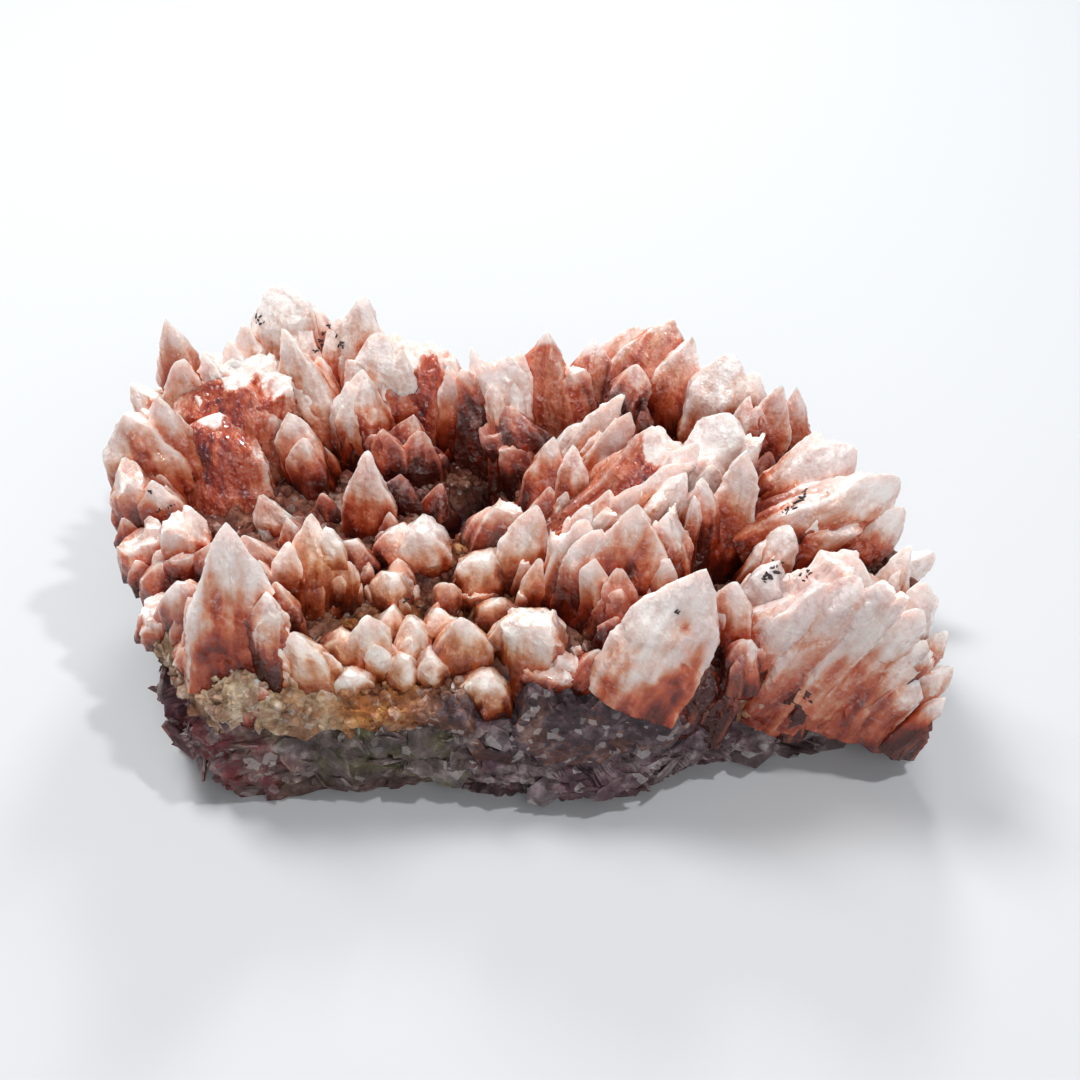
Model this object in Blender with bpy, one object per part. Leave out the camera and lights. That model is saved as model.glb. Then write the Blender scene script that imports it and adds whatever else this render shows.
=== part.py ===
"""Dogtooth calcite cluster on its broken matrix, in metres with Z up.

The piece lies on the flat cut under its matrix, with the long side along X and the front
towards -Y. It is two solids: the matrix, and the crystals with the crust they grew out of.
"""

import math
import random
from dataclasses import dataclass

import bmesh
import bpy
from mathutils import Vector, noise

# Driving dimensions, in millimetres
MM = 0.001
MATRIX_HEIGHT_LEFT = 17.0
MATRIX_HEIGHT_RIGHT = 9.0
HALF_LENGTH = 58.0
HALF_WIDTH = 33.0
CUT_INSET = 2.0
GROWTH_GAP = 0.3
WALL_GAP = 0.45
MERGE = 0.004
FLAT_WITHIN = 3.0
CHIP = 2.6
TOP_RINGS = (9.0, 19.0)
CRUST_LEVEL = 22.0
CRUST_RISE = 0.13
CRUST_EDGE_DROP = 4.0
ROOT_DEPTH = 5.0
LOWEST_CRYSTAL = 0.6
CROWDING = 1.28
WIDE_TOOTH = 8.5
SLIM_TOOTH = 5.5

# The pocket of low, rounded crystals near the front: centre, reach and depth
POCKET_X = -15.0
POCKET_Y = -25.0
POCKET_REACH = 13.0
POCKET_DEPTH = 5.0

# The back bank, which falls away behind the crown of tips
BACK_FALL = 0.95
BACK_DROP = 2.0
BED_UNDER_SKYLINE = 9.0

# Rows of crystals that fan out over the back bank: inset of the roots, lean and length
BACK_ROWS = ((2.0, 50.0, 11.0), (8.0, 34.0, 14.0), (13.5, 16.0, 17.0))
BACK_START = 0.56
BACK_END = 0.94
BACK_COUNT = 20
BACK_WIDTH = 8.0

# Crystals that close the gaps between the named ones
FILL_STEP = 6.5
FILL_WIDTH = 8.0
FILL_CLEARANCE = 6.0
FILL_TOP = 38.0

# Plan of the matrix at its widest, walked anticlockwise from the front left corner
OUTLINE = (
    (-50, -24), (-46, -29), (-41, -34), (-28, -33), (-14, -33), (-2, -35), (9, -35), (18, -33),
    (24, -29), (36, -26), (48, -24), (53, -17), (55, -6), (51, 4), (43, 12), (33, 19),
    (14, 25), (-8, 28), (-26, 31), (-42, 29), (-52, 22), (-54, 8), (-52, -10),
)
OUTLINE_STEPS = 44
CENTRE = (0.0, -2.0)

# Move that brings the middle of the finished piece over the origin
CENTRING = (-0.30, 0.23)

# The crown: the highest tips that close the view to the back, as x, y and z
CROWN = (
    (-58, 16, 44), (-50, 17, 45), (-36, 20, 49), (-24, 18, 49), (-12, 13, 43), (1, 13, 45),
    (14, 16, 44), (22, 16, 45), (32, 9, 42), (39, -3, 40), (50, -11, 37), (58, -16, 34),
)

POINT = "point"
BLUNT = "blunt"
STUMP = "stump"


@dataclass(frozen=True)
class Tooth:
    """One crystal: tip and sizes in millimetres, leans to the right and back in degrees."""

    tip: tuple
    lean: tuple
    width: float
    depth: float
    taper: float
    turn: float
    end: str = POINT
    length: float = 0.0


# Tips along the far left and the back left crown
BACK_LEFT = (
    Tooth((-52, 18, 45), (-8, 8), 7, 6, 11, 10),
    Tooth((-49, 11, 43), (0, 4), 8, 6, 9, 20),
    Tooth((-55, 3, 39), (-7, -2), 12, 9, 8, 30, BLUNT),
    Tooth((-51, 4, 41), (-9, 2), 6, 5, 6, 10),
    Tooth((-35, 12, 47), (-20, 6), 8, 6, 12, 15),
    Tooth((-41, 17, 45), (-4, 10), 6, 5, 5, 20),
    Tooth((-43, 14, 44), (-13, 10), 5, 4, 5, 5),
    Tooth((-46, 12, 43), (-17, 8), 5, 4, 4, 25),
    Tooth((-36, 20, 49), (-7, 10), 10, 8, 5, 30, BLUNT),
    Tooth((-33, 19, 47), (-1, 6), 6, 5, 6, 25),
    Tooth((-31, 19, 46), (-23, 12), 4, 4, 4, 10),
    Tooth((-24, 18, 49), (5, 8), 8, 7, 7, 20, BLUNT),
    Tooth((-30, 13, 42), (-10, 4), 5, 4, 6, 0),
    Tooth((-21, 13, 46), (-2, 8), 8, 6, 7, 10),
)

# The wide broken crystal of the back left, with the crystals along its right side
BROKEN_LEFT = (
    Tooth((-38, 10, 42), (8, 0), 17, 9, 6, 30, STUMP),
    Tooth((-44, 8, 39), (6, -2), 7, 6, 5, 0, STUMP),
    Tooth((-41, 3, 31), (5, -4), 14, 7, 6, 10, STUMP),
    Tooth((-34, 4, 38), (-8, 0), 8, 6, 7, 20),
    Tooth((-32, 1, 34), (2, 0), 7, 5, 5, 15),
    Tooth((-30, -3, 31), (-4, -4), 6, 5, 6, 15),
)

# The middle of the back row
MIDDLE_BACK = (
    Tooth((-25, 8, 41), (1, 2), 5, 4, 5, 10),
    Tooth((-23, 9, 42), (2, 3), 8, 6, 7, 0),
    Tooth((-14, 13, 43), (11, 4), 11, 7, 4, 30, STUMP),
    Tooth((-18, 12, 43), (6, 4), 6, 5, 5, 15),
    Tooth((-11, 10, 43), (6, 0), 5, 4, 8, 10),
    Tooth((-10, 9, 43), (-18, 2), 12, 8, 13, 30),
    Tooth((-4, 6, 38), (-20, 2), 8, 6, 6, 20),
    Tooth((-17, 6, 37), (4, -4), 7, 6, 8, 0),
    Tooth((-20, 4, 36), (0, -2), 5, 4, 5, 20),
    Tooth((-14, 2, 32), (4, -6), 7, 6, 4, 30),
    Tooth((-8, 11, 45), (-4, 8), 4, 4, 5, 20),
    Tooth((-4, 10, 44), (-5, 8), 6, 5, 4, 30, BLUNT),
    Tooth((1, 13, 46), (-6, 4), 10, 8, 9, 0),
    Tooth((6, 11, 41), (-4, 4), 8, 6, 5, 20, STUMP),
)

# Fangs and slabs around the dark slit in the centre
CENTRE_BANK = (
    Tooth((-22, -4, 38), (1, -2), 8, 7, 11, 20),
    Tooth((2, -3, 39), (1, 2), 7, 6, 7, 10),
    Tooth((5, -5, 39), (-2, 3), 5, 4, 5, 25),
    Tooth((-3, -6, 34), (16, -4), 8, 6, 5, 30, BLUNT),
    Tooth((0, -14, 36), (6, 0), 7, 5, 7, 0),
    Tooth((7, -19, 38), (10, 0), 7, 5, 7, 20),
)

# The back right crown and the blades that lie in front of it
BACK_RIGHT = (
    Tooth((21, 17, 45), (18, 14), 14, 9, 7, 30, BLUNT),
    Tooth((8, 14, 43), (0, 12), 9, 6, 4, 30, BLUNT),
    Tooth((15, 16, 44), (7, 12), 9, 6, 4, 10, BLUNT),
    Tooth((22, 13, 45), (7, 4), 9, 7, 9, 20),
    Tooth((28, 10, 44), (9, 6), 10, 8, 5, 30, BLUNT),
    Tooth((32, 9, 42), (8, 6), 6, 5, 5, 10),
    Tooth((15, 10, 42), (7, 6), 6, 5, 4, 30),
    Tooth((13, 3, 42), (29, 2), 6, 4, 7, 10),
    Tooth((14, -1, 42), (26, 0), 5, 4, 5, 25),
    Tooth((18, -7, 42), (37, 0), 8, 6, 3, 30, STUMP),
    Tooth((26, -6, 45), (18, 2), 9, 7, 3, 25, BLUNT),
    Tooth((22, -9, 43), (29, 0), 5, 4, 4, 0),
    Tooth((20, -13, 41), (30, 0), 5, 4, 4, 20),
    Tooth((28, -12, 44), (8, 0), 9, 6, 13, 30),
    Tooth((22, -14, 41), (0, 0), 6, 4, 6, 10),
)

# The long rounded blades that fan out to the right
RIGHT = (
    Tooth((35, 4, 43), (10, 4), 7, 6, 8, 15),
    Tooth((37, 5, 42), (-7, 4), 5, 4, 9, 0),
    Tooth((31, 4, 41), (9, 2), 6, 5, 5, 10),
    Tooth((50, -11, 38), (62, 6), 9, 7, 4, 30, BLUNT, 24),
    Tooth((44, -6, 40), (45, 8), 8, 6, 4, 10, BLUNT, 24),
    Tooth((51, -12, 34), (44, 2), 6, 5, 3, 20, BLUNT),
    Tooth((47, -13, 36), (46, -2), 6, 4, 6, 10, length=24),
    Tooth((40, -13, 37), (36, 0), 6, 4, 4, 30),
    Tooth((35, -17, 35), (21, -2), 6, 5, 3, 30, BLUNT),
    Tooth((33, -22, 33), (16, -2), 6, 5, 3, 20, BLUNT),
    Tooth((54, -27, 26), (28, 2), 4, 3, 4, 0),
    Tooth((55, -28, 20), (58, 0), 4, 3, 3, 0, length=12),
    Tooth((56, -28, 18), (55, 0), 6, 5, 4, 30, length=16),
    Tooth((54, -28, 10), (50, -4), 7, 6, 3, 30, BLUNT, 12),
)

# The two largest crystals of the front right, and the small ones at their feet
FRONT_RIGHT = (
    Tooth((47, -24, 36), (17, -6), 16, 8, 8, 30, STUMP, 34),
    Tooth((43, -23, 36), (22, -2), 10, 7, 6, 20, length=30),
    Tooth((38, -25, 34), (22, -2), 10, 6, 6, 10, STUMP, 28),
    Tooth((35, -26, 27), (14, -6), 9, 6, 4, 30, STUMP, 24),
    Tooth((23, -28, 37), (25, 4), 11, 8, 9, 5, length=28),
    Tooth((27, -26, 33), (3, 0), 5, 4, 4, 10),
    Tooth((28, -29, 26), (4, -4), 5, 4, 2, 30, BLUNT),
    Tooth((22, -29, 22), (12, -6), 7, 6, 4, 30, length=14),
    Tooth((25, -29, 18), (6, -8), 5, 4, 2, 0, length=12),
    Tooth((32, -27, 14), (-6, -10), 8, 6, 3, 30, BLUNT, 12),
    Tooth((39, -28, 13), (3, -10), 8, 6, 3, 0, BLUNT, 11),
)

# The bladed crystals of the middle front
MIDDLE_FRONT = (
    Tooth((14, -20, 41), (7, 2), 12, 7, 10, 30),
    Tooth((9, -21, 38), (9, -2), 8, 6, 7, 20),
    Tooth((12, -25, 31), (12, -4), 7, 5, 6, 0),
    Tooth((14, -15, 41), (32, 2), 5, 4, 5, 10),
    Tooth((10, -15, 40), (14, 2), 5, 4, 4, 20),
    Tooth((18, -18, 38), (-6, 2), 5, 4, 2, 30, BLUNT),
    Tooth((18, -22, 34), (6, -2), 5, 4, 4, 25),
    Tooth((0, -27, 29), (3, -6), 8, 7, 2, 30, BLUNT),
    Tooth((2, -28, 22), (0, -10), 7, 6, 2, 10, BLUNT),
    Tooth((6, -28, 21), (-12, -8), 6, 4, 6, 15),
)

# The tall fang of the front left and what stands around it
FRONT_LEFT = (
    Tooth((-38, -24, 42), (-3, 10), 12, 8, 13, 30),
    Tooth((-34, -28, 34), (2, 4), 6, 5, 4, 10),
    Tooth((-52, -5, 33), (-4, -6), 6, 5, 4, 30),
    Tooth((-47, -13, 34), (-3, -6), 8, 6, 5, 30, STUMP),
    Tooth((-50, -14, 26), (-4, -8), 7, 6, 3, 30, BLUNT),
    Tooth((-39, -13, 35), (-13, -4), 6, 5, 4, 20),
    Tooth((-35, -6, 34), (-9, -4), 6, 5, 6, 0),
    Tooth((-29, -16, 36), (3, 6), 7, 6, 8, 10),
    Tooth((-33, -23, 31), (-3, 0), 5, 4, 4, 20),
    Tooth((-31, -29, 27), (-11, -4), 7, 6, 5, 20, BLUNT),
    Tooth((-46, -22, 30), (-8, -8), 7, 6, 4, 15, BLUNT),
    Tooth((-56, -3, 33), (-8, -6), 7, 7, 4, 0, STUMP),
    Tooth((-54, -9, 28), (-9, -8), 8, 7, 4, 20, STUMP),
    Tooth((-49, -20, 24), (-8, -10), 8, 7, 3, 40, STUMP),
    Tooth((-42, -15, 31), (-4, -4), 8, 6, 4, 10),
    Tooth((-44, -27, 24), (-6, -10), 7, 6, 3, 50, BLUNT),
)

# The low, rounded crystals of the pocket
POCKET = (
    Tooth((-14, -13, 31), (4, -25), 8, 8, 4, 30, BLUNT),
    Tooth((-6, -16, 29), (3, -20), 8, 8, 4, 0, BLUNT),
    Tooth((-19, -17, 27), (-3, -10), 6, 6, 3, 10, BLUNT),
    Tooth((-22, -26, 28), (-2, -4), 6, 5, 4, 20),
    Tooth((-16, -26, 26), (-2, -12), 6, 6, 3, 30, BLUNT),
    Tooth((-9, -26, 27), (2, -6), 8, 7, 7, 30),
    Tooth((-17, -28, 22), (2, -16), 6, 6, 3, 0, BLUNT),
    Tooth((-13, -28, 22), (4, -14), 5, 5, 2, 30, BLUNT),
    Tooth((-24, -13, 29), (-2, -10), 7, 6, 4, 40, BLUNT),
    Tooth((-18, -11, 29), (0, -12), 6, 6, 3, 15, BLUNT),
    Tooth((-26, -25, 24), (-4, -12), 6, 6, 3, 20, BLUNT),
    Tooth((-24, -30, 21), (0, -20), 7, 5, 3, 40, BLUNT),
    Tooth((-6, -30, 20), (6, -16), 8, 6, 3, 20, BLUNT),
    Tooth((-19, -22, 25), (2, -10), 5, 5, 3, 20, BLUNT),
    Tooth((-12, -22, 24), (2, -10), 5, 5, 3, 50, BLUNT),
    Tooth((-4, -21, 25), (4, -14), 6, 5, 3, 10, BLUNT),
    Tooth((-37, -31, 21), (-6, -16), 8, 6, 3, 10, BLUNT),
)

NAMED_TEETH = (
    BACK_LEFT + BROKEN_LEFT + MIDDLE_BACK + CENTRE_BANK + BACK_RIGHT + RIGHT
    + FRONT_RIGHT + MIDDLE_FRONT + FRONT_LEFT + POCKET
)


def matrix_level(x, y):
    """Height of the matrix, which is thicker at the left than at the right."""
    share = (x + HALF_LENGTH) / (2 * HALF_LENGTH)
    swell = 1.2 * noise.noise(Vector((x, y, 3.0)) * 0.11)
    return MATRIX_HEIGHT_LEFT + (MATRIX_HEIGHT_RIGHT - MATRIX_HEIGHT_LEFT) * share + swell


def crown_at(x):
    """Distance back and height of the crown of tips above a place along X."""
    for (x0, y0, z0), (x1, y1, z1) in zip(CROWN, CROWN[1:]):
        if x <= x1:
            share = max(0.0, (x - x0) / (x1 - x0))
            return y0 + (y1 - y0) * share, z0 + (z1 - z0) * share
    return CROWN[-1][1], CROWN[-1][2]


def skyline(x, y):
    """Highest level that a hidden crystal may reach without showing over the crown."""
    crown_y, crown_z = crown_at(x)
    behind = max(0.0, y - crown_y)
    return crown_z - BACK_DROP - BACK_FALL * behind


def crust_level(x, y):
    """Height of the crust: it dips in the pocket and falls towards the back."""
    away = math.hypot(x - POCKET_X, y - POCKET_Y) / POCKET_REACH
    dip = POCKET_DEPTH * math.exp(-away * away)
    bed = CRUST_LEVEL + CRUST_RISE * max(0.0, y - POCKET_Y) - dip
    return min(bed, skyline(x, y) - BED_UNDER_SKYLINE)


def outline_point(share, inset=0.0):
    """Point of the plan at a share of the way around, pulled in by inset towards the centre."""
    place = (share % 1.0) * len(OUTLINE)
    index = int(place)
    (x0, y0), (x1, y1) = OUTLINE[index], OUTLINE[(index + 1) % len(OUTLINE)]
    x = x0 + (x1 - x0) * (place - index)
    y = y0 + (y1 - y0) * (place - index)
    reach = math.hypot(x - CENTRE[0], y - CENTRE[1])
    keep = (reach - inset) / reach
    return CENTRE[0] + (x - CENTRE[0]) * keep, CENTRE[1] + (y - CENTRE[1]) * keep


def inside_outline(x, y, inset):
    """Whether a place lies within the plan pulled in by inset."""
    ring = [outline_point(i / OUTLINE_STEPS, inset) for i in range(OUTLINE_STEPS)]
    inside = False
    for (x0, y0), (x1, y1) in zip(ring, ring[1:] + ring[:1]):
        if (y0 > y) != (y1 > y) and x < x0 + (y - y0) * (x1 - x0) / (y1 - y0):
            inside = not inside
    return inside


def add_rings(bm, rings, bottom, top):
    """Skin a stack of rings, closed by a point under the first and one over the last."""
    rows = [[bm.verts.new(Vector(p) * MM) for p in ring] for ring in rings]
    count = len(rows[0])
    low = bm.verts.new(Vector(bottom) * MM)
    high = bm.verts.new(Vector(top) * MM)
    for i in range(count):
        j = (i + 1) % count
        bm.faces.new((low, rows[0][j], rows[0][i]))
        bm.faces.new((high, rows[-1][i], rows[-1][j]))
        for lower, upper in zip(rows, rows[1:]):
            bm.faces.new((lower[i], lower[j], upper[j]))
            bm.faces.new((lower[i], upper[j], upper[i]))


def slab_rings(grow, lift):
    """Rings of the matrix from its cut face up over its top, grown sideways and lifted by a gap."""
    steps = [i / OUTLINE_STEPS for i in range(OUTLINE_STEPS)]
    wall = ((CUT_INSET, 0.0), (0.8, 0.22), (-0.6, 0.45), (0.4, 0.7), (1.2, 0.97))
    rings = []
    for inset, height in wall:
        raised = lift if height > 0.9 else 0.0
        ring = []
        for i, step in enumerate(steps):
            chip = CHIP * (noise.cell(Vector((i * 0.23, height * 6.0, 7.0))) - 0.5)
            x, y = outline_point(step, inset + chip - grow)
            ring.append((x, y, matrix_level(x, y) * height + raised))
        rings.append(ring)
    for inward in TOP_RINGS:
        ring = []
        for step in steps:
            x, y = outline_point(step, inward)
            ring.append((x, y, matrix_level(x, y) + lift))
        rings.append(ring)
    return rings


def matrix_mesh(name, grow=0.0, lift=0.0):
    """Broken slab of rock with a flat underside."""
    bm = bmesh.new()
    x, y = CENTRE
    add_rings(bm, slab_rings(grow, lift), (x, y, 0.0), (x, y, matrix_level(x, y) + lift))
    return finish_mesh(bm, name)


def crust_mesh(name):
    """Lumpy bed that all the crystals are rooted in."""
    steps = [i / OUTLINE_STEPS for i in range(OUTLINE_STEPS)]
    profile = ((2.0, -3.0), (0.2, 1.5), (1.0, None), (6.0, None), (13.0, None), (21.0, None))
    rings = []
    for inset, over_matrix in profile:
        ring = []
        for i, step in enumerate(steps):
            chip = 1.2 * noise.noise(Vector((i * 0.37, inset, 11.0)))
            x, y = outline_point(step, inset + chip)
            if over_matrix is None:
                edge = CRUST_EDGE_DROP * math.exp(-inset / 3.0)
                lump = 1.6 * noise.noise(Vector((x, y, 5.0)) * 0.2)
                level = max(crust_level(x, y) - edge + lump, matrix_level(x, y) + 2.5)
            else:
                level = matrix_level(x, y) + over_matrix
            ring.append((x, y, level))
        rings.append(ring)
    bm = bmesh.new()
    x, y = CENTRE
    add_rings(bm, rings, (x, y, matrix_level(x, y) - 3.0), (x, y, CRUST_LEVEL))
    return finish_mesh(bm, name)


def finish_mesh(bm, name):
    """Turn a bmesh into a triangulated mesh whose faces point out."""
    bmesh.ops.triangulate(bm, faces=bm.faces)
    bmesh.ops.recalc_face_normals(bm, faces=bm.faces)
    mesh = bpy.data.meshes.new(name)
    bm.to_mesh(mesh)
    bm.free()
    return mesh


def tooth_axis(tooth):
    """Unit vector from the root of a crystal to its tip."""
    right, back = (math.tan(math.radians(angle)) for angle in tooth.lean)
    return Vector((right, back, 1.0)).normalized()


def tooth_length(tooth):
    """Length from the tip down to the root, which is buried in the crust."""
    if tooth.length:
        return tooth.length
    axis = tooth_axis(tooth)
    x, y, z = tooth.tip
    length = (z - crust_level(x, y)) / axis.z
    for _ in range(3):
        root = Vector(tooth.tip) - axis * length
        length = (z - crust_level(root.x, root.y) + ROOT_DEPTH) / axis.z
    return length


def tooth_profile(tooth):
    """Distances from the tip with the share of the full width there, tip first."""
    rows = [(0.0, {POINT: 0.0, BLUNT: 0.45, STUMP: 0.72}[tooth.end])]
    if tooth.end == POINT and tooth.width > WIDE_TOOTH:
        rows.append((0.5 * tooth.taper, 0.58))
    return rows + [(tooth.taper, 0.93), (tooth_length(tooth), 1.04)]


def add_tooth(bm, tooth, number):
    """Crystal with flat faces, a zigzag shoulder and the tip that its end asks for."""
    chance = random.Random(number)
    sides = 5 if tooth.width < SLIM_TOOTH else 6
    axis = tooth_axis(tooth)
    across = Vector((0.0, 1.0, 0.0)).cross(axis).normalized()
    through = axis.cross(across)
    rings = []
    for down, share in tooth_profile(tooth):
        ring = []
        for k in range(sides):
            angle = math.radians(360 / sides * k + tooth.turn)
            radius = share * (1.0 if k % 2 else 0.86) * chance.uniform(0.94, 1.06)
            along = down
            if 0.0 < down < tooth.taper * 1.5:
                along += tooth.taper * (0.14 if k % 2 else -0.1)
            elif down == 0.0 and tooth.end == STUMP:
                along += tooth.width * chance.uniform(0.0, 0.22)
            point = Vector(tooth.tip) - axis * along
            point += across * (math.cos(angle) * radius * CROWDING * tooth.width / 2)
            point += through * (math.sin(angle) * radius * CROWDING * tooth.depth / 2)
            point.z = max(point.z, LOWEST_CRYSTAL)
            ring.append(point)
        rings.append(ring)
    rings.reverse()
    bottom = sum(rings[0], Vector()) / sides
    if tooth.end == POINT:
        rings.pop()
        add_rings(bm, rings, bottom, tooth.tip)
    else:
        add_rings(bm, rings, bottom, sum(rings[-1], Vector()) / sides)


def crowded(x, y, taken):
    """Whether a place is too close to a crystal that stands already."""
    return any((spot - Vector((x, y))).length < FILL_CLEARANCE for spot in taken)


def back_teeth(taken):
    """Rows of crystals that lean outwards over the back bank, under the skyline of the crown."""
    chance = random.Random(17)
    teeth = []
    for row, (inset, tilt, length) in enumerate(BACK_ROWS):
        for k in range(BACK_COUNT):
            step = (k + 0.5 * (row % 2) + chance.uniform(-0.2, 0.2)) / BACK_COUNT
            x, y = outline_point(BACK_START + (BACK_END - BACK_START) * step, inset)
            out = Vector((x / HALF_LENGTH ** 2, y / HALF_WIDTH ** 2)).normalized()
            out *= math.tan(math.radians(tilt + chance.uniform(-8, 8)))
            axis = Vector((out.x, out.y, 1.0)).normalized()
            reach = length * chance.uniform(0.8, 1.15)
            tip = Vector((x, y, crust_level(x, y))) + axis * reach
            tip.z = min(tip.z, skyline(tip.x, tip.y))
            width = BACK_WIDTH * chance.uniform(0.75, 1.25)
            turn = chance.uniform(0, 60)
            end = chance.choice((POINT, POINT, BLUNT, STUMP))
            if crowded(tip.x, tip.y, taken):
                continue
            lean = (math.degrees(math.atan(out.x)), math.degrees(math.atan(out.y)))
            size = (width, width * 0.8, width * 0.9)
            teeth.append(Tooth(tuple(tip), lean, *size, turn, end, reach + ROOT_DEPTH))
            taken.append(tip.xy)
    return teeth


def fill_teeth(taken):
    """Crystals that close the gaps between the named ones."""
    chance = random.Random(29)
    teeth = []
    rows = int(2 * HALF_LENGTH / FILL_STEP)
    for i in range(-rows, rows):
        for j in range(-rows, rows):
            x = FILL_STEP * (i + 0.5 * (j % 2)) + chance.uniform(-1.5, 1.5)
            y = FILL_STEP * j * 0.87 + chance.uniform(-1.5, 1.5)
            width = FILL_WIDTH * chance.uniform(0.8, 1.2)
            drop = chance.uniform(0.0, 6.0)
            turn = chance.uniform(0, 60)
            top = min(skyline(x, y), FILL_TOP) - drop
            low = top < crust_level(x, y) + 5.0
            if low or not inside_outline(x, y, 4.0) or crowded(x, y, taken):
                continue
            lean = (26 * x * abs(x) / HALF_LENGTH ** 2, 20 * y * abs(y) / HALF_WIDTH ** 2)
            end = BLUNT if drop > 3.0 else POINT
            teeth.append(Tooth((x, y, top), lean, width, width * 0.8, width * 0.8, turn, end))
            taken.append(Vector((x, y)))
    return teeth


def all_teeth():
    """The named crystals, those of the back bank and those that close the gaps."""
    taken = [Vector(tooth.tip[:2]) for tooth in NAMED_TEETH]
    for tooth in NAMED_TEETH:
        middle = Vector(tooth.tip) - tooth_axis(tooth) * tooth_length(tooth) * 0.5
        taken.append(middle.xy)
    return list(NAMED_TEETH) + back_teeth(taken) + fill_teeth(taken)


def teeth_mesh(name):
    """Every crystal in one mesh, still overlapping its neighbours."""
    bm = bmesh.new()
    for number, tooth in enumerate(all_teeth()):
        add_tooth(bm, tooth, number)
    return finish_mesh(bm, name)


def make_object(name, mesh):
    """Object that holds a mesh, centred over the origin and linked to the scene."""
    item = bpy.data.objects.new(name, mesh)
    item.location = (CENTRING[0] * MM, CENTRING[1] * MM, 0.0)
    bpy.context.collection.objects.link(item)
    return item


def as_cutter(item):
    """Hide a solid that only shapes another one."""
    item.hide_render = True
    item.display_type = "WIRE"


def combine(item, other, operation, overlapping=False):
    """Boolean of an item with another solid, applied at once."""
    tool = item.modifiers.new(operation.title(), "BOOLEAN")
    tool.operation = operation
    tool.solver = "EXACT"
    tool.object = other
    tool.use_self = overlapping
    bpy.context.view_layer.update()
    evaluated = item.evaluated_get(bpy.context.evaluated_depsgraph_get())
    mesh = bpy.data.meshes.new_from_object(evaluated)
    item.modifiers.clear()
    item.data = mesh


def keep_main_body(item):
    """Fill enclosed hollows and drop chips, so that one body with one skin is left."""
    bm = bmesh.new()
    bm.from_mesh(item.data)
    bmesh.ops.remove_doubles(bm, verts=bm.verts, dist=MERGE * MM)
    flat = math.radians(FLAT_WITHIN)
    bmesh.ops.dissolve_limit(bm, angle_limit=flat, verts=bm.verts, edges=bm.edges)
    bmesh.ops.triangulate(bm, faces=bm.faces)
    shells = []
    left = set(bm.faces)
    while left:
        seed = left.pop()
        shell, edge_of_shell = {seed}, [seed]
        while edge_of_shell:
            face = edge_of_shell.pop()
            for edge in face.edges:
                for other in edge.link_faces:
                    if other in left:
                        left.discard(other)
                        shell.add(other)
                        edge_of_shell.append(other)
        shells.append(shell)
    main = max(shells, key=len)
    spare = [face for shell in shells if shell is not main for face in shell]
    bmesh.ops.delete(bm, geom=spare, context="FACES")
    loose = [vert for vert in bm.verts if not vert.link_faces]
    bmesh.ops.delete(bm, geom=loose, context="VERTS")
    bm.to_mesh(item.data)
    bm.free()


def paint(item, name, colour, roughness):
    """Give an object a plain mineral material of its own."""
    material = bpy.data.materials.new(name)
    material.use_nodes = True
    shader = material.node_tree.nodes["Principled BSDF"]
    shader.inputs["Base Color"].default_value = (*colour, 1.0)
    shader.inputs["Roughness"].default_value = roughness
    shader.inputs["Metallic"].default_value = 0.0
    item.data.materials.clear()
    item.data.materials.append(material)


def build_matrix():
    """The base rock, grey and violet where it is broken."""
    matrix = make_object("matrix", matrix_mesh("matrix"))
    paint(matrix, "matrix rock", (0.19, 0.14, 0.14), 0.8)
    return matrix


def build_crystals():
    """All the crystals and their crust as one solid, fitted over the matrix with a fine gap."""
    crystals = make_object("crystals", crust_mesh("crystals"))
    teeth = make_object("teeth", teeth_mesh("teeth"))
    envelope = make_object("matrix envelope", matrix_mesh("envelope", WALL_GAP, GROWTH_GAP))
    as_cutter(teeth)
    as_cutter(envelope)
    combine(crystals, teeth, "UNION", overlapping=True)
    combine(crystals, envelope, "DIFFERENCE")
    keep_main_body(crystals)
    paint(crystals, "calcite", (0.62, 0.36, 0.29), 0.35)
    return crystals


def main():
    """Clear the scene and build the two solids."""
    for item in list(bpy.data.objects):
        bpy.data.objects.remove(item)
    build_matrix()
    build_crystals()


if __name__ == "__main__":
    main()
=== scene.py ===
"""Looks of the dogtooth calcite cluster: translucent teeth, granular crust and broken matrix.

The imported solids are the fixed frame. The crystals are grown from the same named teeth as the
solids, with finer faces, side crystals, terraces, pits and colour zones, and the matrix is a
fractured slab of the same plan.
"""

import logging
import math
import random
from dataclasses import dataclass, replace
from enum import Enum

import bpy
import numpy as np
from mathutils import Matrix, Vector
from mathutils.bvhtree import BVHTree


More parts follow.
